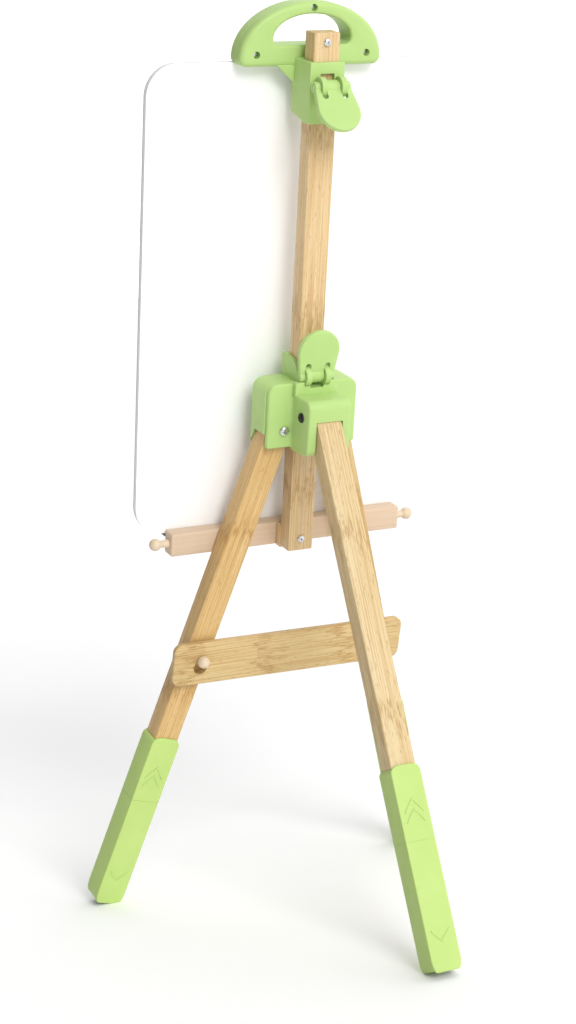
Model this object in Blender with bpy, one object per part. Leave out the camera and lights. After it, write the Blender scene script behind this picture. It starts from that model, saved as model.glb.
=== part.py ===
"""Folding three-legged easel: a bamboo mast that slides in a moulded hub, two splayed
front legs, a rear leg, reversible boots, a cross brace, a tray rail and a drawing board
held from above by a moulded clip with a grip hole.

Units are metres, +Z is up, +Y points to the back, where the rear leg stands, and the
origin is on the floor at the middle of the standing easel.  Parts of the mast are drawn
in the mast's own frame: x across, y back from the mast's rear face, z up along the mast.
"""
import bpy
import bmesh
from math import cos, pi, radians, sin
from mathutils import Matrix, Vector

# ---- gaps -------------------------------------------------------------------
FIT = 0.0003                 # between pieces that touch
SLIDE = 0.0004               # round the mast where it slides
ROUND = 14                   # facets round a turned piece

# ---- stance -----------------------------------------------------------------
HUB_Y = -0.04456             # hub origin over the floor, centred on the feet
HUB_Z = 0.6494
MAST_LEAN = radians(12.5)
LEG_LEAN = radians(17.1)
LEG_SPLAY = radians(16.6)
REAR_TILT = radians(20.8)
LEG_PLANE_Y = 0.0035         # the front legs' rear faces, behind the hub origin

# ---- screws, bolts and their holes ------------------------------------------------
STOP_BORE = 0.0021           # hole that a wood screw is driven into
RAIL_BORE = 0.0024           # hole that the rail screw passes through
LEDGE_PILOT = 0.0016
LEDGE_BORE = 0.0020
CASE_BORE = 0.0019           # holes for the screws that close the clip and the hub
CASE_PILOT = 0.0018
HEAD_SEAT = 0.0045
SEAT_DEPTH = 0.008
COVER_SEAT = 0.0042
COVER_SEAT_DEPTH = 0.004
BOLT_HOLE = 0.0033
BOLT_RADIUS = 0.003
BOLT_HEAD = 0.0065
BOLT_HEAD_HEIGHT = 0.0032
BUSH_OUTER = 0.005

# ---- mast, rail and board -----------------------------------------------------
STICK_WIDTH = 0.035
MAST_DEPTH = 0.025
MAST_LOW = -0.169
MAST_HIGH = 0.501
STOP_SCREW_Z = 0.4895
RAIL_HALF = 0.168
RAIL_LOW = -0.172
RAIL_HIGH = -0.141
RAIL_BACK = -0.039
RAIL_FRONT = -0.061
RAIL_SCREW_Z = -0.153
LEDGE_FRONT = -0.086
LEDGE_TOP = -0.1445
LEDGE_THICK = 0.0065
LEDGE_GROOVE = 0.0023
FLANGE_HALF = 0.150
FLANGE_THICK = 0.003
LEDGE_SCREWS = (("left", 0.120), ("middle", 0.0), ("right", -0.120))
LEDGE_SCREW_Z = -0.163
PEG_BALL = 0.008
PEG_STEM = 0.0055
PEG_REACH = 0.0185           # ball centre from the rail's end
BOARD_WIDTH = 0.420
BOARD_LOW = -0.1465
BOARD_HIGH = 0.4585
BOARD_BACK = -0.062
BOARD_THICK = 0.008
BOARD_SKIN = 0.0008
BOARD_CORNER = 0.040

# ---- clip -----------------------------------------------------------------------
CLIP_HALF = 0.097
CLIP_BASE = 0.455
CLIP_SPRING = 0.460
CLIP_TOP = 0.533
CLIP_CORNER = 0.010
CLIP_BACK = -0.038
CLIP_PARTING = -0.055
CLIP_FRONT = -0.0745
GRIP_HALF = 0.053
GRIP_BASE = 0.481
GRIP_SPRING = 0.489
GRIP_TOP = 0.518
GRIP_CORNER = 0.008
WALL = 0.003
SLOT_TOP = 0.4605
CLIP_SCREWS = (("left", 0.0755, 0.470), ("right", -0.0755, 0.470), ("top", 0.0, 0.5255))
COLLAR_HALF = 0.0235
CLIP_COLLAR_BACK = 0.005
CLIP_COLLAR_LOW = 0.392
CLIP_COLLAR_TOP = 0.4665
GUSSET_HALF = 0.048
GUSSET_LOW = 0.437
GUSSET_THICK = 0.006
CLIP_POST = 0.0065
CLIP_PIN_Z = 0.4386

# ---- cam levers -------------------------------------------------------------------
PIN_Y = 0.0155
PIN_RADIUS = 0.002
PIN_HOLE = 0.0023
KNUCKLE = 0.007
LEVER_HALF = 0.024
DISC_RADIUS = 0.0285
DISC_CENTRE = 0.034
CAM_RADIUS = 0.011
CAM_OFFSET = 0.004
CAM_HALF = 0.009
SLOT_INNER = 0.0095
SLOT_OUTER = 0.0175
SLOT_END = 0.019
EAR_RADIUS = 0.0125
EAR_ROOT = 0.0065
CAM_SWEEP = 0.0154
CLIP_LEVER_TILT = radians(42)
HUB_LEVER_TILT = radians(8.6)

# ---- hub ----------------------------------------------------------------------------
HUB_HALF = 0.065
HUB_LOW = -0.020
HUB_TOP = 0.066
HUB_FRONT = -0.035
HUB_SEAM = 0.006
HUB_BACK = 0.0135
HUB_CORNER = 0.015
HUB_PIN_Z = 0.0748
COLLAR_TOP = 0.094
COLLAR_BACK = 0.010
CHANNEL_WALL = 0.021
POCKET_OUTER = 0.0625
PIVOT_X = 0.0397
PIVOT_Z = 0.004
BRACKET_HALF = 0.030
BRACKET_BACK = 0.0623
BRACKET_WALL = 0.003
CAVITY_HALF = 0.0186
REAR_PIVOT_Y = 0.042
REAR_PIVOT_Z = 0.029
COVER_SCREW_X = 0.050
COVER_SCREW_Z = 0.050
LEG_POST = 0.007             # bosses that space the legs in the hub
STUD = 0.0045                # bosses round the cover screws
GUIDE_HALF = 0.015
CHEEK_INNER = 0.0216         # hollows in the bracket's cheeks
CHEEK_OUTER = 0.027

# ---- legs, boots and brace -------------------------------------------------------------
LEG_DEPTH = 0.028
LEG_END = 0.5485
BOOT_WALL = 0.003
BOOT_TOP = 0.454
BOOT_LINE = 0.5495
BOOT_BOTTOM = 0.711
BOOT_SHOULDER = 0.010
BOOT_HEEL = 0.017
BOOT_FIT = 0.0003
BRACE_NEAR = 0.172
BRACE_FAR = -0.168
BRACE_HEIGHT = 0.061
BRACE_MIDDLE_Z = -0.320
BRACE_TILT = radians(1.0)
BRACE_FACE = 0.004
BRACE_THICK = 0.0075
KNOB_Z = -0.311
REST_PEG_Z = -0.337
REST_PEG_RADIUS = 0.004
REST_PEG_BUTTON = 0.0065
KNOB_STEM = 0.0036
KNOB_BALL = 0.008
KNOB_REACH = 0.0205          # ball centre from the leg's rear face
LEG_PEG_SHANK = 0.0029
LEG_PEG_BORE = 0.0032
LEG_PEG_DEPTH = 0.015
LEG_PEG_FLANGE = 0.0075
KEYHOLE_NECK = 0.0042
KEYHOLE_ROUND = 0.0095
KEYHOLE_DROP = 0.0125


# ---- outlines ------------------------------------------------------------------------
def arc(centre_a, centre_b, radius, start, stop, steps):
    """Points of an arc, in degrees, end points included."""
    points = []
    for index in range(steps + 1):
        angle = radians(start + (stop - start) * index / steps)
        points.append((centre_a + radius * cos(angle), centre_b + radius * sin(angle)))
    return points


def rounded_rectangle(left, right, low, high, low_radius, high_radius, steps=3):
    """Anticlockwise rounded rectangle with its own radius at the bottom and at the top."""
    points = arc(right - low_radius, low + low_radius, low_radius, -90, 0, steps)
    points += arc(right - high_radius, high - high_radius, high_radius, 0, 90, steps)
    points += arc(left + high_radius, high - high_radius, high_radius, 90, 180, steps)
    points += arc(left + low_radius, low + low_radius, low_radius, 180, 270, steps)
    return points


def dome(half_width, base, spring, top, corner, inset=0.0, steps=16):
    """Flat-based dome: a half ellipse above the spring line, round corners at the base."""
    half = half_width - inset
    low = base + inset
    radius = max(corner - inset, 0.001)
    spring = max(spring, low + radius)
    height = top - inset - spring
    points = arc(half - radius, low + radius, radius, -90, -10, 3)
    for index in range(steps + 1):
        angle = pi * index / steps
        points.append((half * cos(angle), spring + height * sin(angle)))
    points += arc(radius - half, low + radius, radius, 190, 270, 3)
    return points


def clip_outline(inset=0.0):
    return dome(CLIP_HALF, CLIP_BASE, CLIP_SPRING, CLIP_TOP, CLIP_CORNER, inset)


def grip_outline(inset=0.0):
    return dome(GRIP_HALF, GRIP_BASE, GRIP_SPRING, GRIP_TOP, GRIP_CORNER, inset, 12)


def hub_outline(inset=0.0):
    half = HUB_HALF - inset
    return rounded_rectangle(-half, half, HUB_LOW + inset, HUB_TOP - inset,
                             0.002, HUB_CORNER - inset)


def cover_outline(inset=0.0):
    half = HUB_HALF - 0.002 - inset
    return rounded_rectangle(-half, half, HUB_LOW + 0.001 + inset, HUB_TOP - inset,
                             0.002, HUB_CORNER - 0.002 - inset)


def lever_outline(inset=0.0):
    """Paddle seen face on: a square base that widens into a disc."""
    half = LEVER_HALF - inset
    points = [(half, inset - 0.002)]
    points += arc(0, DISC_CENTRE, DISC_RADIUS - inset, -6, 186, 14)
    points.append((-half, inset - 0.002))
    return points


# ---- meshes --------------------------------------------------------------------------
def loft(rings):
    """Closed mesh through rings of equal length, with flat ends."""
    shape = bmesh.new()
    loops = [[shape.verts.new(point) for point in ring] for ring in rings]
    for lower, upper in zip(loops, loops[1:]):
        for index, vertex in enumerate(lower):
            following = (index + 1) % len(lower)
            shape.faces.new((vertex, lower[following], upper[following], upper[index]))
    shape.faces.new(list(reversed(loops[0])))
    shape.faces.new(loops[-1])
    bmesh.ops.recalc_face_normals(shape, faces=shape.faces)
    mesh = bpy.data.meshes.new("shape")
    shape.to_mesh(mesh)
    shape.free()
    return mesh


def along_x(outline, low, high):
    """Outline in the (y, z) plane, extruded along x."""
    return loft([[(x, a, b) for a, b in outline] for x in (low, high)])


def along_y(outline, low, high):
    """Outline in the (x, z) plane, extruded along y."""
    return loft([[(a, y, b) for a, b in outline] for y in (low, high)])


def cushioned(outline, low, high, low_round=0.0, high_round=0.0, steps=2):
    """Outline extruded along y, its two rims rounded; outline takes an inset."""
    turns = [pi / 2 * index / steps for index in range(steps + 1)]
    stations = [(low, 0.0)]
    if low_round:
        stations = [(low + low_round * (1 - cos(angle)), low_round * (1 - sin(angle)))
                    for angle in turns]
    if high_round:
        stations += [(high - high_round * (1 - sin(angle)), high_round * (1 - cos(angle)))
                     for angle in turns]
    else:
        stations.append((high, 0.0))
    return loft([[(a, y, b) for a, b in outline(inset)] for y, inset in stations])


def box(low, high, bevel=0.0, segments=1):
    """Block between two corners, its edges rounded by bevel."""
    shape = bmesh.new()
    bmesh.ops.create_cube(shape, size=1.0)
    size = [b - a for a, b in zip(low, high)]
    centre = [(a + b) / 2 for a, b in zip(low, high)]
    bmesh.ops.transform(shape, verts=shape.verts,
                        matrix=Matrix.Translation(centre) @ Matrix.Diagonal(size + [1.0]))
    if bevel:
        bmesh.ops.bevel(shape, geom=shape.edges[:], offset=bevel, segments=segments,
                        profile=0.5, affect='EDGES')
    mesh = bpy.data.meshes.new("block")
    shape.to_mesh(mesh)
    shape.free()
    return mesh


def turned(profile, centre=(0.0, 0.0, 0.0), axis='Y', sides=ROUND, tilt=0.0):
    """Solid of revolution; profile lists (distance along the axis, radius)."""
    rings = []
    for reach, radius in profile:
        ring = []
        for index in range(sides):
            angle = 2 * pi * (index + 0.5) / sides
            if axis == 'X':
                ring.append((reach, radius * cos(angle), radius * sin(angle)))
            else:
                ring.append((radius * cos(angle), reach, radius * sin(angle)))
        rings.append(ring)
    mesh = loft(rings)
    mesh.transform(Matrix.Translation(centre) @ Matrix.Rotation(tilt, 4, 'X'))
    return mesh


def rod(low, high, radius, centre=(0.0, 0.0, 0.0), axis='Y', sides=ROUND, tilt=0.0):
    return turned([(low, radius), (high, radius)], centre, axis, sides, tilt)


def combine(mesh, tools, operation):
    """Boolean of a mesh with each tool mesh in turn."""
    body = bpy.data.objects.new("body", mesh)
    bpy.context.scene.collection.objects.link(body)
    for tool_mesh in tools:
        tool = bpy.data.objects.new("tool", tool_mesh)
        bpy.context.scene.collection.objects.link(tool)
        boolean = body.modifiers.new("combine", 'BOOLEAN')
        boolean.operation = operation
        boolean.solver = 'EXACT'
        boolean.object = tool
        graph = bpy.context.evaluated_depsgraph_get()
        result = bpy.data.meshes.new_from_object(body.evaluated_get(graph))
        body.modifiers.clear()
        body.data = result
        bpy.data.objects.remove(tool)
    result = body.data
    bpy.data.objects.remove(body)
    return result


def cut(mesh, *tools):
    return combine(mesh, tools, 'DIFFERENCE')


def join(mesh, *tools):
    return combine(mesh, tools, 'UNION')


# ---- objects ---------------------------------------------------------------------------
def surface(name, colour, roughness, metallic=0.0):
    material = bpy.data.materials.new(name)
    material.use_nodes = True
    shader = material.node_tree.nodes["Principled BSDF"]
    shader.inputs["Base Color"].default_value = (*colour, 1.0)
    shader.inputs["Roughness"].default_value = roughness
    shader.inputs["Metallic"].default_value = metallic
    return material


def place(name, mesh, parent, material, matrix=None):
    """Add a node under its parent empty, shaded smooth up to 35 degrees."""
    shape = bpy.data.objects.new(name, mesh)
    bpy.context.scene.collection.objects.link(shape)
    shape.parent = parent
    shape.matrix_local = matrix or Matrix.Identity(4)
    mesh.name = name
    mesh.materials.clear()
    mesh.materials.append(material)
    mesh.shade_smooth()
    mesh.set_sharp_from_angle(angle=radians(35))
    return shape


def frame(name, parent, location, rotation_x=0.0, rotation_y=0.0, rotation_z=0.0):
    """Empty that carries a body; its rotations turn about Z, then Y, then X."""
    empty = bpy.data.objects.new(name, None)
    bpy.context.scene.collection.objects.link(empty)
    empty.empty_display_size = 0.03
    empty.parent = parent
    turn = (Matrix.Rotation(rotation_x, 4, 'X') @ Matrix.Rotation(rotation_y, 4, 'Y')
            @ Matrix.Rotation(rotation_z, 4, 'Z'))
    empty.matrix_local = Matrix.Translation(location) @ turn
    return empty


def pan_head(shank_radius, shank_length, head_radius, head_height):
    """Screw along +y from its tip; the head sits a fit's gap off the surface at y = 0."""
    return [(-shank_length, shank_radius * 0.5), (-shank_length * 0.85, shank_radius),
            (FIT, shank_radius), (FIT, head_radius), (FIT + head_height * 0.5, head_radius),
            (FIT + head_height, head_radius * 0.6)]


# ---- mast ------------------------------------------------------------------------------
def mast_mesh():
    half = STICK_WIDTH / 2
    mesh = box((-half, -MAST_DEPTH, MAST_LOW), (half, 0, MAST_HIGH), 0.0015)
    stop_hole = rod(-0.018, 0.001, STOP_BORE, (0, 0, STOP_SCREW_Z))
    rail_hole = rod(-MAST_DEPTH - 0.001, 0.001, RAIL_BORE, (0, 0, RAIL_SCREW_Z))
    return cut(mesh, stop_hole, rail_hole)


def rail_spacer_mesh():
    half = STICK_WIDTH / 2
    low = (-half, RAIL_BACK + FIT, RAIL_LOW)
    high = (half, -MAST_DEPTH - FIT, RAIL_HIGH)
    return cut(box(low, high, 0.001), rod(-0.05, 0.0, RAIL_BORE, (0, 0, RAIL_SCREW_Z)))


def peg_seat(side):
    """Centre of a rail end, where a ball peg is driven in."""
    return (side * RAIL_HALF, (RAIL_BACK + RAIL_FRONT) / 2, (RAIL_LOW + RAIL_HIGH) / 2)


def rail_mesh():
    mesh = box((-RAIL_HALF, RAIL_FRONT, RAIL_LOW), (RAIL_HALF, RAIL_BACK, RAIL_HIGH), 0.002)
    tools = [rod(-0.056, -0.030, STOP_BORE, (0, 0, RAIL_SCREW_Z))]
    for side in (1, -1):
        ends = sorted((side * -0.018, side * 0.001))
        tools.append(rod(*ends, PEG_STEM * 0.7 + FIT, peg_seat(side), 'X'))
    for _, x in LEDGE_SCREWS:
        tools.append(rod(RAIL_FRONT - 0.001, RAIL_FRONT + 0.014, LEDGE_PILOT,
                         (x, 0, LEDGE_SCREW_Z), sides=8))
    return cut(mesh, *tools)


def rail_peg_mesh(side):
    """Turned peg: a driven shank, a visible stem and a ball."""
    profile = [(-0.016, PEG_STEM * 0.7), (FIT, PEG_STEM * 0.7), (FIT, PEG_STEM),
               (0.010, PEG_STEM * 0.9)]
    for index in range(7):
        angle = radians(145 - 22 * index)
        profile.append((PEG_REACH + PEG_BALL * cos(angle), PEG_BALL * sin(angle)))
    if side < 0:
        profile = [(-reach, radius) for reach, radius in profile]
    return turned(profile, peg_seat(side), 'X')


def ledge_mesh():
    """Angle strip on the rail's front: a plate with a step for the board, and a flange."""
    back = RAIL_FRONT - FIT
    lip = BOARD_BACK - BOARD_THICK - FIT
    floor = LEDGE_TOP - LEDGE_GROOVE
    low = LEDGE_TOP - LEDGE_THICK
    outline = [(LEDGE_FRONT + 0.0015, low), (back, low), (back, floor), (lip, floor),
               (lip, LEDGE_TOP), (LEDGE_FRONT + 0.0015, LEDGE_TOP),
               (LEDGE_FRONT, LEDGE_TOP - 0.0015), (LEDGE_FRONT, low + 0.0015)]
    plate = along_x(outline, -RAIL_HALF, RAIL_HALF)
    flange = box((-FLANGE_HALF, back - FLANGE_THICK, RAIL_LOW + 0.002),
                 (FLANGE_HALF, back, low + 0.001))
    holes = [rod(-0.07, -0.058, LEDGE_BORE, (x, 0, LEDGE_SCREW_Z), sides=8)
             for _, x in LEDGE_SCREWS]
    return cut(join(plate, flange), *holes)


def front_screw_mesh(shank_length, head_radius, centre):
    """Screw driven from the front, its head towards -y."""
    profile = pan_head(0.0013, shank_length, head_radius, 0.0022)
    return turned([(-reach, radius) for reach, radius in profile], centre, sides=10)


def board_sheet(back, front):
    half = BOARD_WIDTH / 2
    outline = rounded_rectangle(-half, half, BOARD_LOW, BOARD_HIGH, BOARD_CORNER, BOARD_CORNER, 6)
    return along_y(outline, front, back)


# ---- clip --------------------------------------------------------------------------------
def ear_outline(pin_z, root_y):
    """Hinge ear in the (y, z) plane: a disc about the lever pin with a narrower root."""
    points = [(root_y, pin_z - EAR_ROOT)]
    points += arc(PIN_Y, pin_z, EAR_RADIUS, -120, 120, 10)
    points.append((root_y, pin_z + EAR_ROOT))
    return points


def ears(pin_z, root_y):
    inner = SLOT_INNER + 0.0004
    outer = SLOT_OUTER - 0.0004
    return [along_x(ear_outline(pin_z, root_y), min(side * inner, side * outer),
                    max(side * inner, side * outer)) for side in (1, -1)]


def pin_bore(pin_z):
    return rod(-0.03, 0.03, PIN_HOLE, (0, PIN_Y, pin_z), 'X', 10)


def mast_channel(low, high):
    half = STICK_WIDTH / 2 + SLIDE
    return box((-half, -MAST_DEPTH - SLIDE, low), (half, SLIDE, high))


def clip_pocket(low, high, base):
    """Hollow between the clip's outer wall and the wall round its grip hole."""
    room = cut(along_y(clip_outline(WALL), low, high),
               along_y(grip_outline(-WALL), low - 0.001, high + 0.001),
               *[rod(low - 0.001, high + 0.001, CLIP_POST, (x, 0, z)) for _, x, z in CLIP_SCREWS])
    floor = box((-0.2, low - 0.01, 0.3), (0.2, high + 0.01, base))
    return cut(room, floor)


def clip_rear_mesh():
    """Rear shell of the clip with the collar that slides on the mast."""
    mesh = cushioned(clip_outline, CLIP_PARTING + FIT / 2, CLIP_BACK, 0.0, 0.003)
    mesh = cut(mesh, clip_pocket(CLIP_PARTING - 0.001, CLIP_BACK - WALL, CLIP_BASE))
    gusset = [(-GUSSET_HALF, CLIP_BASE + 0.0025), (-0.0245, GUSSET_LOW),
              (-COLLAR_HALF + 0.0005, CLIP_COLLAR_LOW + 0.008),
              (COLLAR_HALF - 0.0005, CLIP_COLLAR_LOW + 0.008), (0.0245, GUSSET_LOW),
              (GUSSET_HALF, CLIP_BASE + 0.0025)]
    web = along_y(gusset, CLIP_BACK - GUSSET_THICK, CLIP_BACK - 0.0002)
    collar = [(CLIP_BACK - 0.0008, CLIP_COLLAR_LOW + 0.007), (-0.0085, CLIP_COLLAR_LOW),
              (CLIP_COLLAR_BACK, CLIP_COLLAR_LOW), (CLIP_COLLAR_BACK, CLIP_COLLAR_TOP),
              (CLIP_BACK - 0.0008, CLIP_COLLAR_TOP)]
    mesh = join(mesh, web, along_x(collar, -COLLAR_HALF, COLLAR_HALF))
    mesh = join(mesh, *ears(CLIP_PIN_Z, CLIP_COLLAR_BACK - 0.001))
    window = box((-SLOT_INNER, -0.001, CLIP_PIN_Z - 0.0144),
                 (SLOT_INNER, 0.008, CLIP_PIN_Z + 0.0144))
    mesh = cut(mesh, mast_channel(0.38, 0.48), window, pin_bore(CLIP_PIN_Z),
               along_y(grip_outline(), -0.06, -0.03))
    seat = CLIP_BACK - SEAT_DEPTH
    seats = [rod(seat, -0.03, HEAD_SEAT, (x, 0, z)) for _, x, z in CLIP_SCREWS]
    bores = [rod(-0.06, -0.04, CASE_BORE, (x, 0, z), sides=8) for _, x, z in CLIP_SCREWS]
    return cut(mesh, *seats, *bores)


def clip_front_mesh():
    """Front shell of the clip with the slot for the board's top edge."""
    mesh = cushioned(clip_outline, CLIP_FRONT, CLIP_PARTING - FIT / 2, 0.006, 0.0)
    mesh = cut(mesh, clip_pocket(CLIP_FRONT + WALL, CLIP_PARTING + 0.001, SLOT_TOP + WALL))
    slot = box((-0.11, BOARD_BACK - BOARD_THICK - 0.0004, 0.44),
               (0.11, BOARD_BACK + 0.0004, SLOT_TOP))
    mesh = cut(mesh, slot, along_y(grip_outline(), -0.08, -0.05))
    pilots = [rod(-0.066, -0.05, CASE_PILOT, (x, 0, z), sides=8) for _, x, z in CLIP_SCREWS]
    return cut(mesh, *pilots)


# ---- cam lever ------------------------------------------------------------------------------
def lever_mesh():
    """Cam lever about its pin: x along the pin, z out along the paddle, -y to the mast."""
    mesh = cushioned(lever_outline, -0.0025, 0.0045, 0.0015, 0.0020, 1)
    side_knuckle = rod(-LEVER_HALF, LEVER_HALF, KNUCKLE, (0, 0, 0), 'X')
    cam = rod(-CAM_HALF, CAM_HALF, CAM_RADIUS, (0, -CAM_OFFSET, 0), 'X', 18)
    mesh = join(mesh, side_knuckle, cam)
    middle = (SLOT_INNER + SLOT_OUTER) / 2
    radius = (SLOT_OUTER - SLOT_INNER) / 2
    slots = []
    for side in (1, -1):
        outline = [(side * middle + radius, -0.02)]
        outline += arc(side * middle, SLOT_END - radius, radius, 0, 180, 5)
        outline.append((side * middle - radius, -0.02))
        slots.append(along_y(outline, -0.03, 0.03))
    return cut(mesh, *slots, rod(-0.03, 0.03, PIN_HOLE, axis='X', sides=10))


def pin_mesh():
    end = 0.0005
    half = LEVER_HALF - 0.0004
    return turned([(-half, PIN_RADIUS - end), (end - half, PIN_RADIUS),
                   (half - end, PIN_RADIUS), (half, PIN_RADIUS - end)], axis='X', sides=10)


# ---- hub ------------------------------------------------------------------------------------
def leg_axis_rod(side, low, high, radius, sides=ROUND):
    """Rod along a front leg's pivot, in the mast frame; low and high are leg-frame y."""
    lean = LEG_LEAN - MAST_LEAN
    shift = Vector((0, LEG_PLANE_Y * cos(MAST_LEAN), LEG_PLANE_Y * sin(MAST_LEAN)))
    centre = shift + Matrix.Rotation(-lean, 3, 'X') @ Vector((side * PIVOT_X, 0, PIVOT_Z))
    return rod(low, high, radius, centre, sides=sides, tilt=-lean)


def collar_outline():
    """Hub collar in the (y, z) plane: flat at the front, falling in a curve to the back."""
    front = HUB_FRONT + 0.0005
    points = [(front, 0.055), (HUB_SEAM - 0.0005, 0.055), (HUB_SEAM - 0.0005, HUB_TOP + 0.0005),
              (COLLAR_BACK, HUB_TOP + 0.0005), (COLLAR_BACK, 0.080)]
    points += [(-0.020 + 0.030 * sin(radians(a)), 0.080 + 0.014 * cos(radians(a)))
               for a in (72, 54, 36, 18, 0)]
    points.append((front, COLLAR_TOP))
    return points


def cam_room(pin_z):
    """Room for the cam and for the knuckles to turn about a lever pin."""
    return [rod(-SLOT_INNER, SLOT_INNER, CAM_SWEEP, (0, PIN_Y, pin_z), 'X', 18),
            rod(-0.026, 0.026, KNUCKLE + 0.0006, (0, PIN_Y, pin_z), 'X')]


def ear_room(pin_z):
    return rod(-SLOT_OUTER, SLOT_OUTER, EAR_RADIUS + 0.0006, (0, PIN_Y, pin_z), 'X')


def hub_front_mesh():
    """Front shell of the hub: mast channel, leg pockets open below, and the collar."""
    mesh = cushioned(hub_outline, HUB_FRONT, HUB_SEAM, 0.004, 0.0)
    mesh = join(mesh, along_x(collar_outline(), -COLLAR_HALF, COLLAR_HALF))
    tools = [mast_channel(-0.03, 0.12),
             box((-0.0179, -0.001, -0.03), (0.0179, 0.02, 0.052))]
    for side in (1, -1):
        pocket = rounded_rectangle(CHANNEL_WALL, POCKET_OUTER, -0.030, HUB_TOP - WALL,
                                   0.002, 0.011)
        room = along_y([(side * x, z) for x, z in pocket], HUB_FRONT + WALL, 0.02)
        post = rod(-0.05, 0.03, STUD, (side * COVER_SCREW_X, 0, COVER_SCREW_Z))
        tools.append(cut(room, leg_axis_rod(side, -0.05, -0.0292, LEG_POST), post))
        notch = [(-0.0205, -0.0005), (-0.0325, -0.021), (0.010, -0.021), (0.010, -0.0005)]
        tools.append(along_x(notch, min(side * 0.0615, side * 0.0665),
                             max(side * 0.0615, side * 0.0665)))
        tools.append(leg_axis_rod(side, -0.05, 0.0, BOLT_HOLE, 10))
        tools.append(leg_axis_rod(side, -0.06, -0.0345, 0.0062, 6))
        spot = (side * COVER_SCREW_X, 0, COVER_SCREW_Z)
        tools.append(rod(-0.05, HUB_FRONT + COVER_SEAT_DEPTH, COVER_SEAT, spot))
        tools.append(rod(-0.05, 0.02, CASE_BORE, spot, sides=8))
    mesh = cut(mesh, *tools, *cam_room(HUB_PIN_Z))
    mesh = join(mesh, *ears(HUB_PIN_Z, COLLAR_BACK - 0.004))
    return cut(mesh, pin_bore(HUB_PIN_Z))


def bracket_outline():
    """Side view of the rear-leg bracket, in the (y, z) plane."""
    points = [(HUB_BACK - 0.001, -0.022), (0.048, -0.020)]
    points += arc(0.0523, -0.009, 0.010, -60, 0, 4)
    points += [(BRACKET_BACK, 0.0445), (0.051, 0.0535), (HUB_BACK - 0.001, 0.0525)]
    return points


def leg_seat(gap):
    """Point on the rear leg's rear face line and the line's direction, mast frame."""
    fall = MAST_LEAN + REAR_TILT
    reach = LEG_DEPTH / 2 + gap
    start = Vector((REAR_PIVOT_Y + reach * cos(fall), REAR_PIVOT_Z + reach * sin(fall)))
    return start, Vector((sin(fall), -cos(fall)))


def hub_rear_mesh():
    """Rear cover of the hub with the lever's base pad and the rear leg's bracket."""
    mesh = cushioned(cover_outline, HUB_SEAM + FIT, HUB_BACK, 0.0, 0.002)
    recesses = []
    for side in (1, -1):
        recess = rounded_rectangle(0.024, 0.060, -0.016, HUB_TOP - WALL, 0.002, 0.010)
        recesses.append(along_y([(side * x, z) for x, z in recess], 0.0, HUB_BACK - WALL))
    mesh = cut(mesh, *recesses)
    pad = rounded_rectangle(-BRACKET_HALF, BRACKET_HALF, 0.050, 0.069, 0.002, 0.004)
    posts = [leg_axis_rod(side, 0.0010, 0.010, LEG_POST) for side in (1, -1)]
    studs = [rod(HUB_SEAM + FIT, 0.012, STUD, (side * COVER_SCREW_X, 0, COVER_SCREW_Z))
             for side in (1, -1)]
    guide = box((-GUIDE_HALF, 0.0007, -0.015), (GUIDE_HALF, 0.009, 0.048))
    mesh = join(mesh, along_y(pad, HUB_BACK - 0.001, 0.022), guide,
                along_x(bracket_outline(), -BRACKET_HALF, BRACKET_HALF), *posts, *studs)
    start, fall = leg_seat(0.0004)
    top = start + fall * 0.001
    far = start + fall * 0.012
    mouth = [(0.050, top.y), (top.x, top.y), (far.x, far.y), (0.075, far.y),
             (0.075, -0.030), (0.050, -0.030)]
    tools = [box((-CAVITY_HALF, HUB_BACK, -0.030),
                 (CAVITY_HALF, BRACKET_BACK - BRACKET_WALL, 0.0455)),
             along_x(mouth, -CAVITY_HALF, CAVITY_HALF),
             rod(-0.04, 0.04, BOLT_HOLE, (0, REAR_PIVOT_Y, REAR_PIVOT_Z), 'X', 10)]
    for side in (1, -1):
        left, right = sorted((side * CHEEK_INNER, side * CHEEK_OUTER))
        tools.append(box((left, 0.017, -0.030), (right, 0.058, 0.020)))
        tools.append(leg_axis_rod(side, -0.02, 0.03, BOLT_HOLE, 10))
        tools.append(rod(0.0, 0.0115, LEDGE_PILOT, (side * COVER_SCREW_X, 0, COVER_SCREW_Z),
                         sides=8))
    return cut(mesh, *tools, *cam_room(HUB_PIN_Z), ear_room(HUB_PIN_Z))


# ---- legs -----------------------------------------------------------------------------------
def leg_mesh(low_y, high_y, round_axis):
    """Stick hung from its pivot at the origin, with a round top about that pivot."""
    half = STICK_WIDTH / 2
    if round_axis == 'Y':
        outline = [(half, -LEG_END)] + arc(0, 0, half, 0, 180, 10) + [(-half, -LEG_END)]
        mesh = along_y(outline, low_y, high_y)
    else:
        reach = (high_y - low_y) / 2
        outline = [(reach, -LEG_END)] + arc(0, 0, reach, 0, 180, 10) + [(-reach, -LEG_END)]
        mesh = along_x(outline, -half, half)
    shape = bmesh.new()
    shape.from_mesh(mesh)
    bmesh.ops.bevel(shape, geom=[edge for edge in shape.edges if edge.calc_face_angle(0) > 1.0],
                    offset=0.0015, segments=1, profile=0.5, affect='EDGES')
    shape.to_mesh(mesh)
    shape.free()
    return mesh


def front_leg_mesh(side):
    mesh = leg_mesh(-LEG_DEPTH, 0, 'Y')
    bore = rod(-0.04, 0.01, BUSH_OUTER + FIT)
    spot = leg_spot(side, KNOB_Z if side > 0 else REST_PEG_Z)
    peg_bore = rod(-LEG_PEG_DEPTH - 0.001, 0.01, LEG_PEG_BORE, spot, sides=10)
    return cut(mesh, bore, peg_bore)


def leg_spot(side, height):
    """Where the leg's centre line reaches a height of the leg frame, in the leg's frame."""
    along = (PIVOT_Z - height) / cos(LEG_SPLAY)
    return Vector((0, 0, -along))


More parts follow.
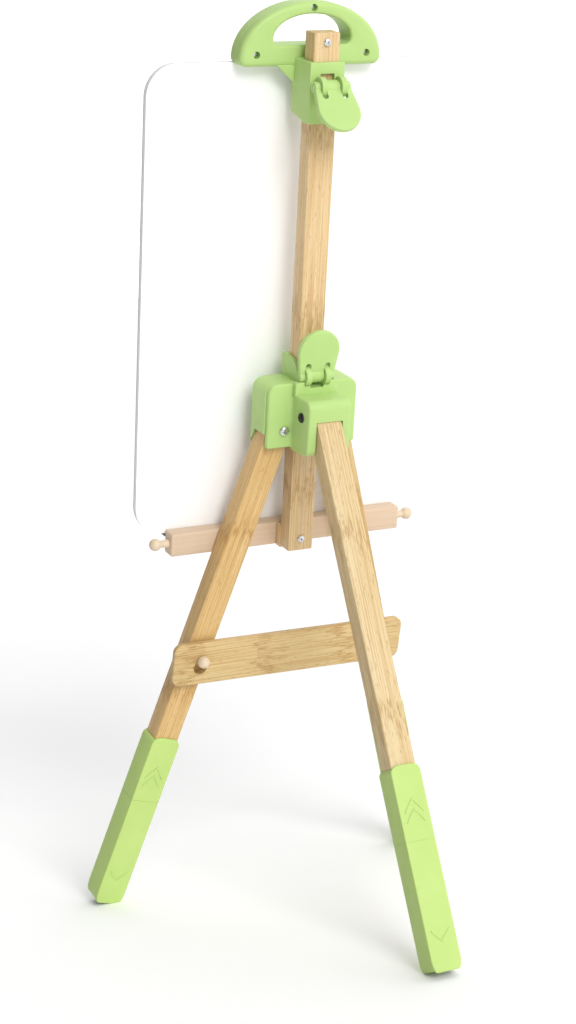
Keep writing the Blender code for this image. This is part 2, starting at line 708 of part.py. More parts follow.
def bush_mesh(length, axis):
    """Tube that lines a pivot bore."""
    outer = rod(-length / 2, length / 2, BUSH_OUTER, axis=axis)
    inner = rod(-length, length, BOLT_HOLE, axis=axis)
    return cut(outer, inner)


def bolt_profile(length):
    """Domed bolt: the shank runs from -length to 0, the head stands above."""
    end = 0.0004
    return [(-length, BOLT_RADIUS - end), (end - length, BOLT_RADIUS), (0, BOLT_RADIUS),
            (0, BOLT_HEAD), (BOLT_HEAD_HEIGHT * 0.4, BOLT_HEAD),
            (BOLT_HEAD_HEIGHT * 0.8, BOLT_HEAD * 0.8), (BOLT_HEAD_HEIGHT, BOLT_HEAD * 0.45)]


def boot_outline():
    """Broad face of a boot: straight sides, round tongues above and below."""
    half = STICK_WIDTH / 2 + BOOT_FIT + BOOT_WALL
    top = -BOOT_TOP
    low = -BOOT_BOTTOM
    points = [(half * 0.30 - half, low), (half - half * 0.30, low)]
    points += [(half - half * 0.30 * (1 - sin(radians(a))), low + BOOT_HEEL * (1 - cos(radians(a))))
               for a in (30, 60, 90)]
    points += [(half - half * 0.55 * (1 - cos(radians(a))),
                top - BOOT_SHOULDER * (1 - sin(radians(a)))) for a in (0, 22, 45, 67, 90)]
    points += [(-x, z) for x, z in reversed(points[5:10])]
    points += [(-x, z) for x, z in reversed(points[2:5])]
    return points


def boot_mesh(low_y, high_y, world):
    """Sleeve with a divider, its lowest edge cut level with the floor."""
    skin = BOOT_FIT + BOOT_WALL
    half = STICK_WIDTH / 2 + BOOT_FIT
    mesh = along_y(boot_outline(), low_y - skin, high_y + skin)
    upper = box((-half, low_y - BOOT_FIT, -BOOT_LINE + 0.0007), (half, high_y + BOOT_FIT, 0.0))
    lower = box((-half, low_y - BOOT_FIT, -0.8),
                (half, high_y + BOOT_FIT, -BOOT_LINE - BOOT_WALL))
    below = box((-1.0, -1.0, -0.2), (1.0, 1.0, 0.0))
    below.transform(world.inverted())
    return cut(mesh, upper, lower, below)


# ---- brace ------------------------------------------------------------------------------------
def brace_pivot():
    """Knob stem in the leg frame, where the brace turns."""
    along = (PIVOT_Z - KNOB_Z) / cos(LEG_SPLAY)
    return Vector((PIVOT_X + along * sin(LEG_SPLAY), 0, KNOB_Z))


def rest_peg_place():
    along = (PIVOT_Z - REST_PEG_Z) / cos(LEG_SPLAY)
    return Vector((-PIVOT_X - along * sin(LEG_SPLAY), 0, REST_PEG_Z))


def brace_mesh():
    """Flat bar about the knob stem, in the leg frame's directions."""
    pivot = brace_pivot()
    half = BRACE_HEIGHT / 2
    bar = along_y(rounded_rectangle(BRACE_FAR, BRACE_NEAR, -half, half, 0.012, 0.012, 5),
                  BRACE_FACE, BRACE_FACE + BRACE_THICK)
    bar.transform(Matrix.Translation((-pivot.x, 0, BRACE_MIDDLE_Z - pivot.z))
                  @ Matrix.Rotation(-BRACE_TILT, 4, 'Y'))
    shape = bmesh.new()
    shape.from_mesh(bar)
    rim = [edge for edge in shape.edges if edge.calc_face_angle(0) > 1.0]
    bmesh.ops.bevel(shape, geom=rim, offset=0.001, segments=1, profile=0.5, affect='EDGES')
    shape.to_mesh(bar)
    shape.free()
    keyhole = arc(0, 0, KEYHOLE_NECK, 0, 180, 6)
    keyhole += arc(0, -KEYHOLE_DROP, KEYHOLE_ROUND, 180 - 64, 360 + 64, 12)
    peg = rest_peg_place() - pivot
    room = REST_PEG_RADIUS + 0.001
    slide = Vector((0.707, -0.707))
    across = Vector((0.707, 0.707))
    start = Vector((peg.x, peg.z))
    mouth = start + slide * 0.034
    notch = [start + across * room, start - slide * room * 0.7 + across * room * 0.7,
             start - slide * room, start - slide * room * 0.7 - across * room * 0.7,
             start - across * room, mouth - across * (room + 0.003),
             mouth + across * (room + 0.006)]
    return cut(bar, along_y(keyhole, 0, 0.02), along_y([(p.x, p.y) for p in notch], 0, 0.02))


def leg_peg_root(stem):
    """Profile of a peg's shank in the leg and of the flange that spaces the brace."""
    flange = BRACE_FACE - 0.0005
    return [(-LEG_PEG_DEPTH, LEG_PEG_SHANK), (FIT, LEG_PEG_SHANK), (FIT, LEG_PEG_FLANGE),
            (flange, LEG_PEG_FLANGE), (flange, stem)]


def knob_mesh():
    """Ball knob: shank in the leg, flange that spaces the brace, stem and ball."""
    profile = leg_peg_root(KNOB_STEM)
    profile.append((0.0135, KNOB_STEM))
    for index in range(7):
        angle = radians(155 - 24 * index)
        profile.append((KNOB_REACH + KNOB_BALL * cos(angle), KNOB_BALL * sin(angle)))
    return turned(profile)


def rest_peg_mesh():
    """Peg that the brace rests on, with a low button that keeps it there."""
    face = BRACE_FACE + BRACE_THICK + 0.0005
    profile = leg_peg_root(REST_PEG_RADIUS)
    profile += [(face, REST_PEG_RADIUS), (face, REST_PEG_BUTTON),
                (face + 0.0015, REST_PEG_BUTTON), (face + 0.0025, 0.005)]
    return turned(profile)


# ---- assembly ---------------------------------------------------------------------------------
def build_mast(mast_frame, wood, pale, grey, white, core, chalk, steel):
    place("mast", mast_mesh(), mast_frame, wood)
    place("mast_stop_screw", turned(pan_head(0.0018, 0.015, 0.005, 0.003),
                                    (0, 0, STOP_SCREW_Z)), mast_frame, steel)
    place("rail_screw", turned(pan_head(0.0018, 0.053, 0.005, 0.003),
                               (0, 0, RAIL_SCREW_Z)), mast_frame, steel)
    place("rail_spacer", rail_spacer_mesh(), mast_frame, wood)
    place("tray_rail", rail_mesh(), mast_frame, pale)
    place("rail_peg_left", rail_peg_mesh(1), mast_frame, pale)
    place("rail_peg_right", rail_peg_mesh(-1), mast_frame, pale)
    place("board_ledge", ledge_mesh(), mast_frame, grey)
    for name, x in LEDGE_SCREWS:
        spot = (x, RAIL_FRONT - FIT - FLANGE_THICK, LEDGE_SCREW_Z)
        place(f"ledge_screw_{name}", front_screw_mesh(0.015, 0.0033, spot), mast_frame, steel)
    back = BOARD_BACK
    front = BOARD_BACK - BOARD_THICK
    place("board_back_sheet", board_sheet(back, back - BOARD_SKIN), mast_frame, white)
    place("board_core", board_sheet(back - BOARD_SKIN - FIT, front + BOARD_SKIN + FIT),
          mast_frame, core)
    place("board_writing_sheet", board_sheet(front + BOARD_SKIN, front), mast_frame, chalk)


def build_clip(clip_frame, plastic, steel):
    place("clip_rear_shell", clip_rear_mesh(), clip_frame, plastic)
    place("clip_front_shell", clip_front_mesh(), clip_frame, plastic)
    for name, x, z in CLIP_SCREWS:
        screw = turned(pan_head(0.0015, 0.018, 0.0038, 0.0025), (x, CLIP_BACK - SEAT_DEPTH, z),
                       sides=10)
        place(f"clip_screw_{name}", screw, clip_frame, steel)
    place("clip_lever_pin", pin_mesh(), clip_frame, steel,
          Matrix.Translation((0, PIN_Y, CLIP_PIN_Z)))
    lever_frame = frame("clip_lever_axis", clip_frame, (0, PIN_Y, CLIP_PIN_Z),
                        CLIP_LEVER_TILT - pi, 0.0, pi)
    place("clip_lever", lever_mesh(), lever_frame, plastic)


def build_hub(hub_frame, leg_frame, plastic, steel):
    place("hub_front_shell", hub_front_mesh(), hub_frame, plastic)
    place("hub_rear_cover", hub_rear_mesh(), hub_frame, plastic)
    place("hub_lever_pin", pin_mesh(), hub_frame, steel,
          Matrix.Translation((0, PIN_Y, HUB_PIN_Z)))
    lever_frame = frame("hub_lever_axis", hub_frame, (0, PIN_Y, HUB_PIN_Z), -HUB_LEVER_TILT)
    place("hub_lever", lever_mesh(), lever_frame, plastic)
    seat = 0.0110
    for side, hand in ((1, "left"), (-1, "right")):
        spot = (side * COVER_SCREW_X, HUB_FRONT + COVER_SEAT_DEPTH, COVER_SCREW_Z)
        place(f"hub_cover_screw_{hand}", front_screw_mesh(0.041, 0.0038, spot), hub_frame, steel)
        spot = (side * PIVOT_X, seat, PIVOT_Z)
        bolt = turned(bolt_profile(0.049), spot)
        place(f"leg_pivot_bolt_{hand}", bolt, leg_frame, steel)
        nut = cut(rod(-0.0385, -0.0350, 0.0056, (side * PIVOT_X, 0, PIVOT_Z), sides=6),
                  rod(-0.05, 0.0, BOLT_HOLE, (side * PIVOT_X, 0, PIVOT_Z), sides=10))
        place(f"leg_pivot_nut_{hand}", nut, leg_frame, steel)
    pivot = Matrix.Translation((0, REAR_PIVOT_Y, REAR_PIVOT_Z))
    cheek = BRACKET_HALF + FIT
    bolt = turned([(reach + cheek, radius) for reach, radius in bolt_profile(0.0665)], axis='X')
    place("rear_leg_bolt", bolt, hub_frame, steel, pivot)
    nut = cut(rod(-cheek - 0.005, -cheek, 0.006, axis='X', sides=6),
              rod(-0.05, 0.05, BOLT_HOLE, axis='X', sides=10))
    place("rear_leg_nut", nut, hub_frame, steel, pivot)
    for side, hand in ((1, "left"), (-1, "right")):
        inner = STICK_WIDTH / 2 + FIT
        ring = cut(rod(inner, inner + 0.0005, 0.009, axis='X'),
                   rod(0.0, 0.05, BOLT_HOLE, axis='X'))
        ring.transform(Matrix.Rotation(pi if side < 0 else 0.0, 4, 'Z'))
        place(f"rear_leg_washer_{hand}", ring, hub_frame, steel, pivot)


def build_legs(hub_frame, leg_frame, wood, pale, plastic, nylon):
    """Two front legs, the rear leg, their bushes and boots."""
    for side, hand in ((1, "left"), (-1, "right")):
        axis = frame(f"front_leg_{hand}_axis", leg_frame, (side * PIVOT_X, 0, PIVOT_Z),
                     0.0, -side * LEG_SPLAY)
        place(f"front_leg_{hand}", front_leg_mesh(side), axis, wood)
        place(f"leg_bush_{hand}", bush_mesh(LEG_DEPTH, 'Y'), axis, nylon,
              Matrix.Translation((0, -LEG_DEPTH / 2, 0)))
        bpy.context.view_layer.update()
        boot = boot_mesh(-LEG_DEPTH, 0, axis.matrix_world)
        place(f"boot_{hand}", boot, axis, plastic)
        spot = Matrix.Translation(leg_spot(side, KNOB_Z if side > 0 else REST_PEG_Z))
        if side > 0:
            place("brace_knob", knob_mesh(), axis, pale, spot)
        else:
            place("brace_rest_peg", rest_peg_mesh(), axis, pale, spot)
    axis = frame("rear_leg_axis", hub_frame, (0, REAR_PIVOT_Y, REAR_PIVOT_Z),
                 MAST_LEAN + REAR_TILT)
    half = LEG_DEPTH / 2
    leg = cut(leg_mesh(-half, half, 'X'), rod(-0.03, 0.03, BUSH_OUTER + FIT, axis='X'))
    place("rear_leg", leg, axis, wood)
    place("leg_bush_rear", bush_mesh(STICK_WIDTH, 'X'), axis, nylon)
    bpy.context.view_layer.update()
    place("boot_rear", boot_mesh(-half, half, axis.matrix_world), axis, plastic)


def main():
    for item in list(bpy.data.objects):
        bpy.data.objects.remove(item)
    wood = surface("bamboo", (0.78, 0.62, 0.40), 0.45)
    pale = surface("pale_wood", (0.82, 0.68, 0.50), 0.5)
    plastic = surface("green_plastic", (0.50, 0.76, 0.26), 0.38)
    grey = surface("grey_plastic", (0.05, 0.05, 0.055), 0.45)
    white = surface("white_laminate", (0.90, 0.90, 0.89), 0.15)
    core = surface("painted_core", (0.80, 0.80, 0.77), 0.6)
    chalk = surface("chalk_face", (0.03, 0.035, 0.035), 0.8)
    steel = surface("plated_steel", (0.55, 0.55, 0.56), 0.35, 1.0)
    nylon = surface("nylon", (0.75, 0.74, 0.70), 0.5)
    hub_frame = frame("hub_frame", None, (0, HUB_Y, HUB_Z), -MAST_LEAN)
    leg_frame = frame("leg_frame", None, (0, HUB_Y + LEG_PLANE_Y, HUB_Z), -LEG_LEAN)
    mast_frame = frame("mast_frame", hub_frame, (0, 0, 0))
    clip_frame = frame("clip_frame", mast_frame, (0, 0, 0))
    build_mast(mast_frame, wood, pale, grey, white, core, chalk, steel)
    build_clip(clip_frame, plastic, steel)
    build_hub(hub_frame, leg_frame, plastic, steel)
    build_legs(hub_frame, leg_frame, wood, pale, plastic, nylon)
    brace_frame = frame("brace_axis", leg_frame, brace_pivot())
    place("cross_brace", brace_mesh(), brace_frame, wood)


main()
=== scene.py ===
"""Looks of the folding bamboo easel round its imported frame: finer moulded shells, levers,
boots, sticks, pegs and screws, with procedural wood, plastic, laminate and steel.

Metres, +Z up.  Pieces of the mast, clip and hub are drawn in the mast's own frame: x across,
y back from the mast's rear face, z up along the mast.  A leg hangs down -z from its pivot.
"""
import bpy
import bmesh
from math import cos, pi, radians, sin
from mathutils import Matrix, Vector


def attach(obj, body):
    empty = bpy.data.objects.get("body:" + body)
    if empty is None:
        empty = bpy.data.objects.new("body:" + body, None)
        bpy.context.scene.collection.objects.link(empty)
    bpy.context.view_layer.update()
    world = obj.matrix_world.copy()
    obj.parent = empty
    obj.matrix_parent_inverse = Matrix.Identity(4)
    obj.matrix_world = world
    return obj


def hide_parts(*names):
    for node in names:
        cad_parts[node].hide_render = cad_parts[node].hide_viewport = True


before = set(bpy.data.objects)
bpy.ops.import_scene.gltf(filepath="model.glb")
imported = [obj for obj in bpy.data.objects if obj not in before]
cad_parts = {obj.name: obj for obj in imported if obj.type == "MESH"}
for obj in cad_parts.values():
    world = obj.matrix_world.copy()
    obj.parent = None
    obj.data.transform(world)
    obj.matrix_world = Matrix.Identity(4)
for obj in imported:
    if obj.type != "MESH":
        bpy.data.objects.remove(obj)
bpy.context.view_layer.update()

# ---- gaps
# A cutter runs past what it cuts, so its plain end numbers aren't sizes.
FIT = 0.0003                 # between pieces that touch
SLIDE = 0.0004               # round the mast, and beside the ears in a lever's slots
ROUND = 32                   # facets round a turned piece

# ---- stance
HUB_Y = -0.04456             # hub origin over the floor, centred on the feet
HUB_Z = 0.6494
MAST_LEAN = radians(12.5)
LEG_LEAN = radians(17.1)
LEG_SPLAY = radians(16.6)
REAR_TILT = radians(20.8)
LEG_PLANE_Y = 0.0035         # the front legs' rear faces, behind the hub origin

# ---- screws, bolts and their holes
CASE_BORE = 0.0019           # holes for the screws that close the hub
HEAD_SEAT = 0.0045
SEAT_DEPTH = 0.008
COVER_SEAT = 0.0042
COVER_SEAT_DEPTH = 0.004
BOLT_HOLE = 0.0033
BUSH_OUTER = 0.005
# head radius and height, shank radius and length
WOOD_SCREW = (0.005, 0.0028, 0.0018, 0.015)
CLIP_SCREW = (0.0038, 0.0024, 0.0015, 0.012)
COVER_SCREW = (0.0038, 0.0022, 0.0013, 0.030)
PIVOT_BOLT = (0.0065, 0.0032, 0.003, 0.049)
REAR_BOLT = (0.0065, 0.0032, 0.003, 0.0665)
PIVOT_BOLT_SEAT = 0.0107     # behind the legs' rear faces

# ---- mast, rail and board
STICK_WIDTH = 0.035
MAST_DEPTH = 0.025
MAST_LOW = -0.169
MAST_HIGH = 0.501
STOP_SCREW_Z = 0.4895
RAIL_HALF = 0.168
RAIL_LOW = -0.172
RAIL_HIGH = -0.141
RAIL_BACK = -0.039
RAIL_FRONT = -0.061
RAIL_SCREW_Z = -0.153
LEDGE_FRONT = -0.086
LEDGE_TOP = -0.1445
LEDGE_THICK = 0.0065
LEDGE_GROOVE = 0.0023
FLANGE_HALF = 0.150
FLANGE_THICK = 0.003
PEG_BALL = 0.008
PEG_STEM = 0.0055
PEG_REACH = 0.0185           # ball centre from the rail's end
BOARD_WIDTH = 0.420
BOARD_LOW = -0.1465
BOARD_HIGH = 0.4585
BOARD_BACK = -0.062
BOARD_THICK = 0.008
BOARD_SKIN = 0.0008
BOARD_CORNER = 0.040

# ---- clip
CLIP_HALF = 0.097
CLIP_BASE = 0.455
CLIP_SPRING = 0.460
CLIP_TOP = 0.533
CLIP_CORNER = 0.010
CLIP_BACK = -0.038
CLIP_PARTING = -0.055
CLIP_FRONT = -0.0745
GRIP_HALF = 0.053
GRIP_BASE = 0.481
GRIP_SPRING = 0.489
GRIP_TOP = 0.518
GRIP_CORNER = 0.008
WALL = 0.003
SLOT_TOP = 0.4605
CLIP_SCREWS = (("left", 0.0755, 0.470), ("right", -0.0755, 0.470), ("top", 0.0, 0.5255))
COLLAR_HALF = 0.0235
CLIP_COLLAR_BACK = 0.005
CLIP_COLLAR_LOW = 0.392
CLIP_COLLAR_TOP = 0.4665
GUSSET_HALF = 0.048
GUSSET_LOW = 0.437
GUSSET_THICK = 0.006
CLIP_PIN_Z = 0.4386

# ---- cam levers
PIN_Y = 0.0155
PIN_HOLE = 0.0023
KNUCKLE = 0.007
LEVER_HALF = 0.024
DISC_RADIUS = 0.0285
DISC_CENTRE = 0.034
CAM_RADIUS = 0.011
CAM_OFFSET = 0.004
CAM_HALF = 0.009
SLOT_INNER = 0.0095
SLOT_OUTER = 0.0175
SLOT_END = 0.019
EAR_RADIUS = 0.0125
EAR_ROOT = 0.0065
CAM_SWEEP = 0.0154
PADDLE_FRONT = -0.0025       # the paddle's faces, from the pin
PADDLE_BACK = 0.0045
CLIP_LEVER_TILT = radians(42)
HUB_LEVER_TILT = radians(8.6)

# ---- hub
HUB_HALF = 0.065
HUB_LOW = -0.020
HUB_TOP = 0.066
HUB_FRONT = -0.035
HUB_SEAM = 0.006
HUB_BACK = 0.0135
HUB_CORNER = 0.015
HUB_PIN_Z = 0.0748
COLLAR_TOP = 0.094
COLLAR_BACK = 0.010
COLLAR_FALL = 0.014          # the curve that the collar's top falls in
COLLAR_RUN = 0.030
CHANNEL_WALL = 0.021
POCKET_OUTER = 0.0625
POCKET_CORNER = 0.011
NOTCH_INNER = 0.0615         # the pockets' outer walls are open below, where the legs splay
NOTCH_OUTER = 0.0665
PIVOT_X = 0.0397
PIVOT_Z = 0.004
BRACKET_HALF = 0.030
BRACKET_BACK = 0.0623
BRACKET_WALL = 0.003
BRACKET_HEEL = 0.010
BRACKET_CORNER = 0.011
BRACKET_TOP = 0.0535
PAD_LOW = 0.050
PAD_HIGH = 0.069
PAD_BACK = 0.022
CAVITY_HALF = 0.0186
REAR_PIVOT_Y = 0.042
REAR_PIVOT_Z = 0.029
COVER_SCREW_X = 0.050
COVER_SCREW_Z = 0.050
CHANNEL_MOUTH = 0.052        # top of the opening for the cover's guide
LEG_POST = 0.007             # bosses that space the legs in the hub
POST_FRONT = -0.0292         # their ends, from the legs' rear faces
POST_BACK = 0.0010
NUT_SEAT = -0.0345           # from the legs' rear faces
NUT_RADIUS = 0.0062
STUD = 0.0045                # bosses round the cover screws
GUIDE_HALF = 0.015
GUIDE_LOW = -0.015           # the rib behind the mast, in the channel's mouth
GUIDE_TOP = 0.048
CHEEK_INNER = 0.0216         # hollows in the bracket's cheeks
CHEEK_OUTER = 0.027

# ---- legs, boots and brace
LEG_DEPTH = 0.028
LEG_END = 0.5485
BOOT_WALL = 0.003
BOOT_TOP = 0.454
BOOT_LINE = 0.5495
BOOT_BOTTOM = 0.711
BOOT_SHOULDER = 0.010
BOOT_HEEL = 0.017
BOOT_FIT = 0.0003
BOOT_RIM = 0.0014
BOOT_GROOVE = 0.0003         # half the moulded line's width
BOOT_GROOVE_DEPTH = 0.0004
CHEVRONS = ((0.496, -0.016), (0.509, -0.016), (0.675, 0.013))    # tip below the pivot, rise
CHEVRON_HALF = 0.0125
CHEVRON_STROKE = 0.0026
CHEVRON_RISE = 0.0008        # how far it stands proud of the boot
BRACE_NEAR = 0.172
BRACE_FAR = -0.168
BRACE_HEIGHT = 0.061
BRACE_MIDDLE_Z = -0.320
BRACE_TILT = radians(1.0)
BRACE_FACE = 0.004
BRACE_THICK = 0.0075
KNOB_Z = -0.311
REST_PEG_Z = -0.337
REST_PEG_RADIUS = 0.004
REST_PEG_BUTTON = 0.0065
KNOB_STEM = 0.0036
KNOB_BALL = 0.008
KNOB_REACH = 0.0205          # ball centre from the leg's rear face
LEG_PEG_FLANGE = 0.0075
KEYHOLE_NECK = 0.0042
KEYHOLE_ROUND = 0.0095
KEYHOLE_DROP = 0.0125

# ---- rounding of moulded edges
SHELL_RIM = 0.0005
CLIP_REAR_ROUND = 0.0070
CLIP_FRONT_ROUND = 0.0095
GRIP_REAR_LIP = 0.0035
GRIP_FRONT_LIP = 0.0045
HUB_FRONT_ROUND = 0.005
HUB_COVER_ROUND = 0.0026
COLLAR_ROUND = 0.0012
COVE_RADIUS = 0.005
SHARP_TURN = radians(35)     # shading breaks where faces turn by more

# ---- colours: light and deep
RAIL_WOOD = ((0.64, 0.49, 0.36), (0.58, 0.43, 0.29))
PEG_WOOD = ((0.70, 0.58, 0.42), (0.64, 0.50, 0.35))
NYLON = ((0.78, 0.77, 0.72), (0.72, 0.71, 0.66))
ZINC = ((0.80, 0.81, 0.83), (0.50, 0.51, 0.53))
BLACK_OXIDE = ((0.05, 0.05, 0.052), (0.025, 0.025, 0.027))
# plastics: the record's slot, light, deep and roughness
PLASTIC = {
    "green": ("green_plastic", (0.43, 0.61, 0.21), (0.41, 0.585, 0.195), 0.38),
    "boot": ("green_plastic", (0.46, 0.62, 0.19), (0.44, 0.595, 0.175), 0.42),
    "grey": ("grey_plastic", (0.055, 0.055, 0.06), (0.04, 0.04, 0.045), 0.45),
}
NODE_GAP = 0.235
BAMBOO_STRIP = (0.0062, 0.0094, 100.0)
# bamboo: light, deep, where its strips start, the way they run and the gap between nodes
BAMBOO = {
    "mast": ((0.72, 0.54, 0.30), (0.63, 0.45, 0.23), (0.0, 0.0, 0.31), 'Z', NODE_GAP),
    "left": ((0.70, 0.50, 0.235), (0.60, 0.39, 0.15), (0.0, 0.0, -0.105), 'Z', NODE_GAP),
    "right": ((0.65, 0.48, 0.24), (0.56, 0.39, 0.17), (0.004, 0.003, 0.12), 'Z', NODE_GAP),
    "rear": ((0.67, 0.53, 0.30), (0.60, 0.45, 0.23), (0.002, 0.0, -0.09), 'Z', NODE_GAP),
    "brace": ((0.65, 0.49, 0.25), (0.57, 0.41, 0.18), (0.0, 0.001, 0.083), 'X', 0.117),
}

# ---- light and camera
CAMERA_PLACE = (1.3066, 2.5648, 0.9864)
CAMERA_PAN = radians(154.107)
CAMERA_PITCH = radians(79.671)
CAMERA_ROLL = radians(-2.869)
LENS = 79.87                 # mm, for a sensor SENSOR wide
SENSOR = 36.0
SHIFT_X = 0.0017
SHIFT_Y = 0.064
WORLD_LIGHT = 1.22
FLAG_LIGHT = 0.20            # world light where a flag shades the easel's left
FLAG_START = -0.1            # the flag's soft edge, as the sky direction's x
FLAG_END = 0.45
KEY_FROM = (0.15, 2.4, 1.3)
KEY_POWER = 1.8
KEY_SPREAD = radians(28)
FLOOR_REACH = 14.0

# ---- rest places of the moving frames
def turn(angle, axis):
    return Matrix.Rotation(angle, 4, axis)


def move(x, y, z):
    return Matrix.Translation((x, y, z))


HUB = move(0, HUB_Y, HUB_Z) @ turn(-MAST_LEAN, 'X')
LEGS = move(0, HUB_Y + LEG_PLANE_Y, HUB_Z) @ turn(-LEG_LEAN, 'X')
FRONT_LEG = {side: LEGS @ move(side * PIVOT_X, 0, PIVOT_Z) @ turn(-side * LEG_SPLAY, 'Y')
             for side in (1, -1)}
REAR_LEG = HUB @ move(0, REAR_PIVOT_Y, REAR_PIVOT_Z) @ turn(MAST_LEAN + REAR_TILT, 'X')
CLIP_LEVER = HUB @ move(0, PIN_Y, CLIP_PIN_Z) @ turn(CLIP_LEVER_TILT - pi, 'X') @ turn(pi, 'Z')
HUB_LEVER = HUB @ move(0, PIN_Y, HUB_PIN_Z) @ turn(-HUB_LEVER_TILT, 'X')
SIDES = ((1, "left"), (-1, "right"))


# ---- outlines
def arc(centre_a, centre_b, radius, start, stop, steps):
    """Points of an arc, in degrees, end points included."""
    points = []
    for index in range(steps + 1):
        angle = radians(start + (stop - start) * index / steps)
        points.append((centre_a + radius * cos(angle), centre_b + radius * sin(angle)))
    return points


def rounded_rectangle(left, right, low, high, low_radius, high_radius, steps=8):
    """Anticlockwise rounded rectangle with its own radius at the bottom and at the top."""
    points = arc(right - low_radius, low + low_radius, low_radius, -90, 0, steps)
    points += arc(right - high_radius, high - high_radius, high_radius, 0, 90, steps)
    points += arc(left + high_radius, high - high_radius, high_radius, 90, 180, steps)
    points += arc(left + low_radius, low + low_radius, low_radius, 180, 270, steps)
    return points


def dome(half_width, base, spring, top, corner, inset=0.0, steps=48):
    """Flat-based dome: a half ellipse above the spring line, round corners at the base."""
    half = half_width - inset
    low = base + inset
    radius = max(corner - inset, 0.001)
    spring = max(spring, low + radius)
    height = top - inset - spring
    points = arc(half - radius, low + radius, radius, -90, -10, 6)
    for index in range(steps + 1):
        angle = pi * index / steps
        points.append((half * cos(angle), spring + height * sin(angle)))
    points += arc(radius - half, low + radius, radius, 190, 270, 6)
    return points


def clip_outline(inset):
    return dome(CLIP_HALF, CLIP_BASE, CLIP_SPRING, CLIP_TOP, CLIP_CORNER, inset)


def grip_outline(inset):
    return dome(GRIP_HALF, GRIP_BASE, GRIP_SPRING, GRIP_TOP, GRIP_CORNER, inset, 40)


def hub_outline(inset):
    half = HUB_HALF - inset
    return rounded_rectangle(-half, half, HUB_LOW + inset, HUB_TOP - inset,
                             0.002, HUB_CORNER - inset)


def cover_outline(inset):
    half = HUB_HALF - 0.002 - inset
    return rounded_rectangle(-half, half, HUB_LOW + 0.001 + inset, HUB_TOP - inset,
                             0.002, HUB_CORNER - 0.002 - inset)


def lever_outline(inset):
    """Paddle seen face on: a square base that widens into a disc."""
    half = LEVER_HALF - inset
    points = [(half, inset - 0.002)]
    points += arc(0, DISC_CENTRE, DISC_RADIUS - inset, -6, 186, 44)
    points.append((-half, inset - 0.002))
    return points


# ---- meshes
def saved(shape, mesh=None):
    """Write a bmesh into a mesh and free it."""
    mesh = mesh or bpy.data.meshes.new("shape")
    shape.to_mesh(mesh)
    shape.free()
    return mesh


def loft(rings):
    """Closed mesh through rings of equal length, with flat ends."""
    shape = bmesh.new()
    loops = [[shape.verts.new(point) for point in ring] for ring in rings]
    for lower, upper in zip(loops, loops[1:]):
        for index, vertex in enumerate(lower):
            following = (index + 1) % len(lower)
            shape.faces.new((vertex, lower[following], upper[following], upper[index]))
    shape.faces.new(list(reversed(loops[0])))
    shape.faces.new(loops[-1])
    bmesh.ops.recalc_face_normals(shape, faces=shape.faces)
    return saved(shape)


def along_x(outline, low, high):
    """Outline in the (y, z) plane, extruded along x."""
    return loft([[(x, a, b) for a, b in outline] for x in (low, high)])


def along_y(outline, low, high):
    """Outline in the (x, z) plane, extruded along y."""
    return loft([[(a, y, b) for a, b in outline] for y in (low, high)])


def cushioned(outline, low, high, low_round=0.0, high_round=0.0, steps=5):
    """Outline extruded along y, its two rims rounded; outline takes an inset."""
    turns = [pi / 2 * index / steps for index in range(steps + 1)]
    stations = [(low, 0.0)]
    if low_round:
        stations = [(low + low_round * (1 - cos(angle)), low_round * (1 - sin(angle)))
                    for angle in turns]
    if high_round:
        stations += [(high - high_round * (1 - sin(angle)), high_round * (1 - cos(angle)))
                     for angle in turns]
    else:
        stations.append((high, 0.0))
    return loft([[(a, y, b) for a, b in outline(inset)] for y, inset in stations])


def box(low, high, bevel=0.0, segments=3):
    """Block between two corners, its edges rounded by bevel."""
    shape = bmesh.new()
    bmesh.ops.create_cube(shape, size=1.0)
    size = [b - a for a, b in zip(low, high)]
    centre = [(a + b) / 2 for a, b in zip(low, high)]
    bmesh.ops.transform(shape, verts=shape.verts,
                        matrix=move(*centre) @ Matrix.Diagonal(size + [1.0]))
    if bevel:
        bmesh.ops.bevel(shape, geom=shape.edges[:], offset=bevel, segments=segments,
                        profile=0.5, affect='EDGES')
    return saved(shape)


def turned(profile, centre=(0.0, 0.0, 0.0), axis='Y', sides=ROUND, tilt=0.0):
    """Solid of revolution; profile lists (distance along the axis, radius)."""
    rings = []
    for reach, radius in profile:
        ring = []
        for index in range(sides):
            angle = 2 * pi * (index + 0.5) / sides
            if axis == 'X':
                ring.append((reach, radius * cos(angle), radius * sin(angle)))
            else:
                ring.append((radius * cos(angle), reach, radius * sin(angle)))
        rings.append(ring)
    mesh = loft(rings)
    mesh.transform(move(*centre) @ turn(tilt, 'X'))
    return mesh


def rod(low, high, radius, centre=(0.0, 0.0, 0.0), axis='Y', sides=ROUND, tilt=0.0):
    """Cylinder along an axis."""
    return turned([(low, radius), (high, radius)], centre, axis, sides, tilt)


def linked(name, data):
    """New object in the scene."""
    made = bpy.data.objects.new(name, data)
    bpy.context.scene.collection.objects.link(made)
    return made


def combine(mesh, tools, operation):
    """Boolean of a mesh with each tool mesh in turn."""
    body = linked("body", mesh)
    for tool_mesh in tools:
        tool = linked("tool", tool_mesh)
        boolean = body.modifiers.new("combine", 'BOOLEAN')
        boolean.operation = operation
        boolean.solver = 'EXACT'
        boolean.object = tool
        graph = bpy.context.evaluated_depsgraph_get()
        result = bpy.data.meshes.new_from_object(body.evaluated_get(graph))
        body.modifiers.clear()
        body.data = result
        bpy.data.objects.remove(tool)
    result = body.data
    bpy.data.objects.remove(body)
    return result


def cut(mesh, *tools):
    return combine(mesh, tools, 'DIFFERENCE')


def join(mesh, *tools):
    return combine(mesh, tools, 'UNION')


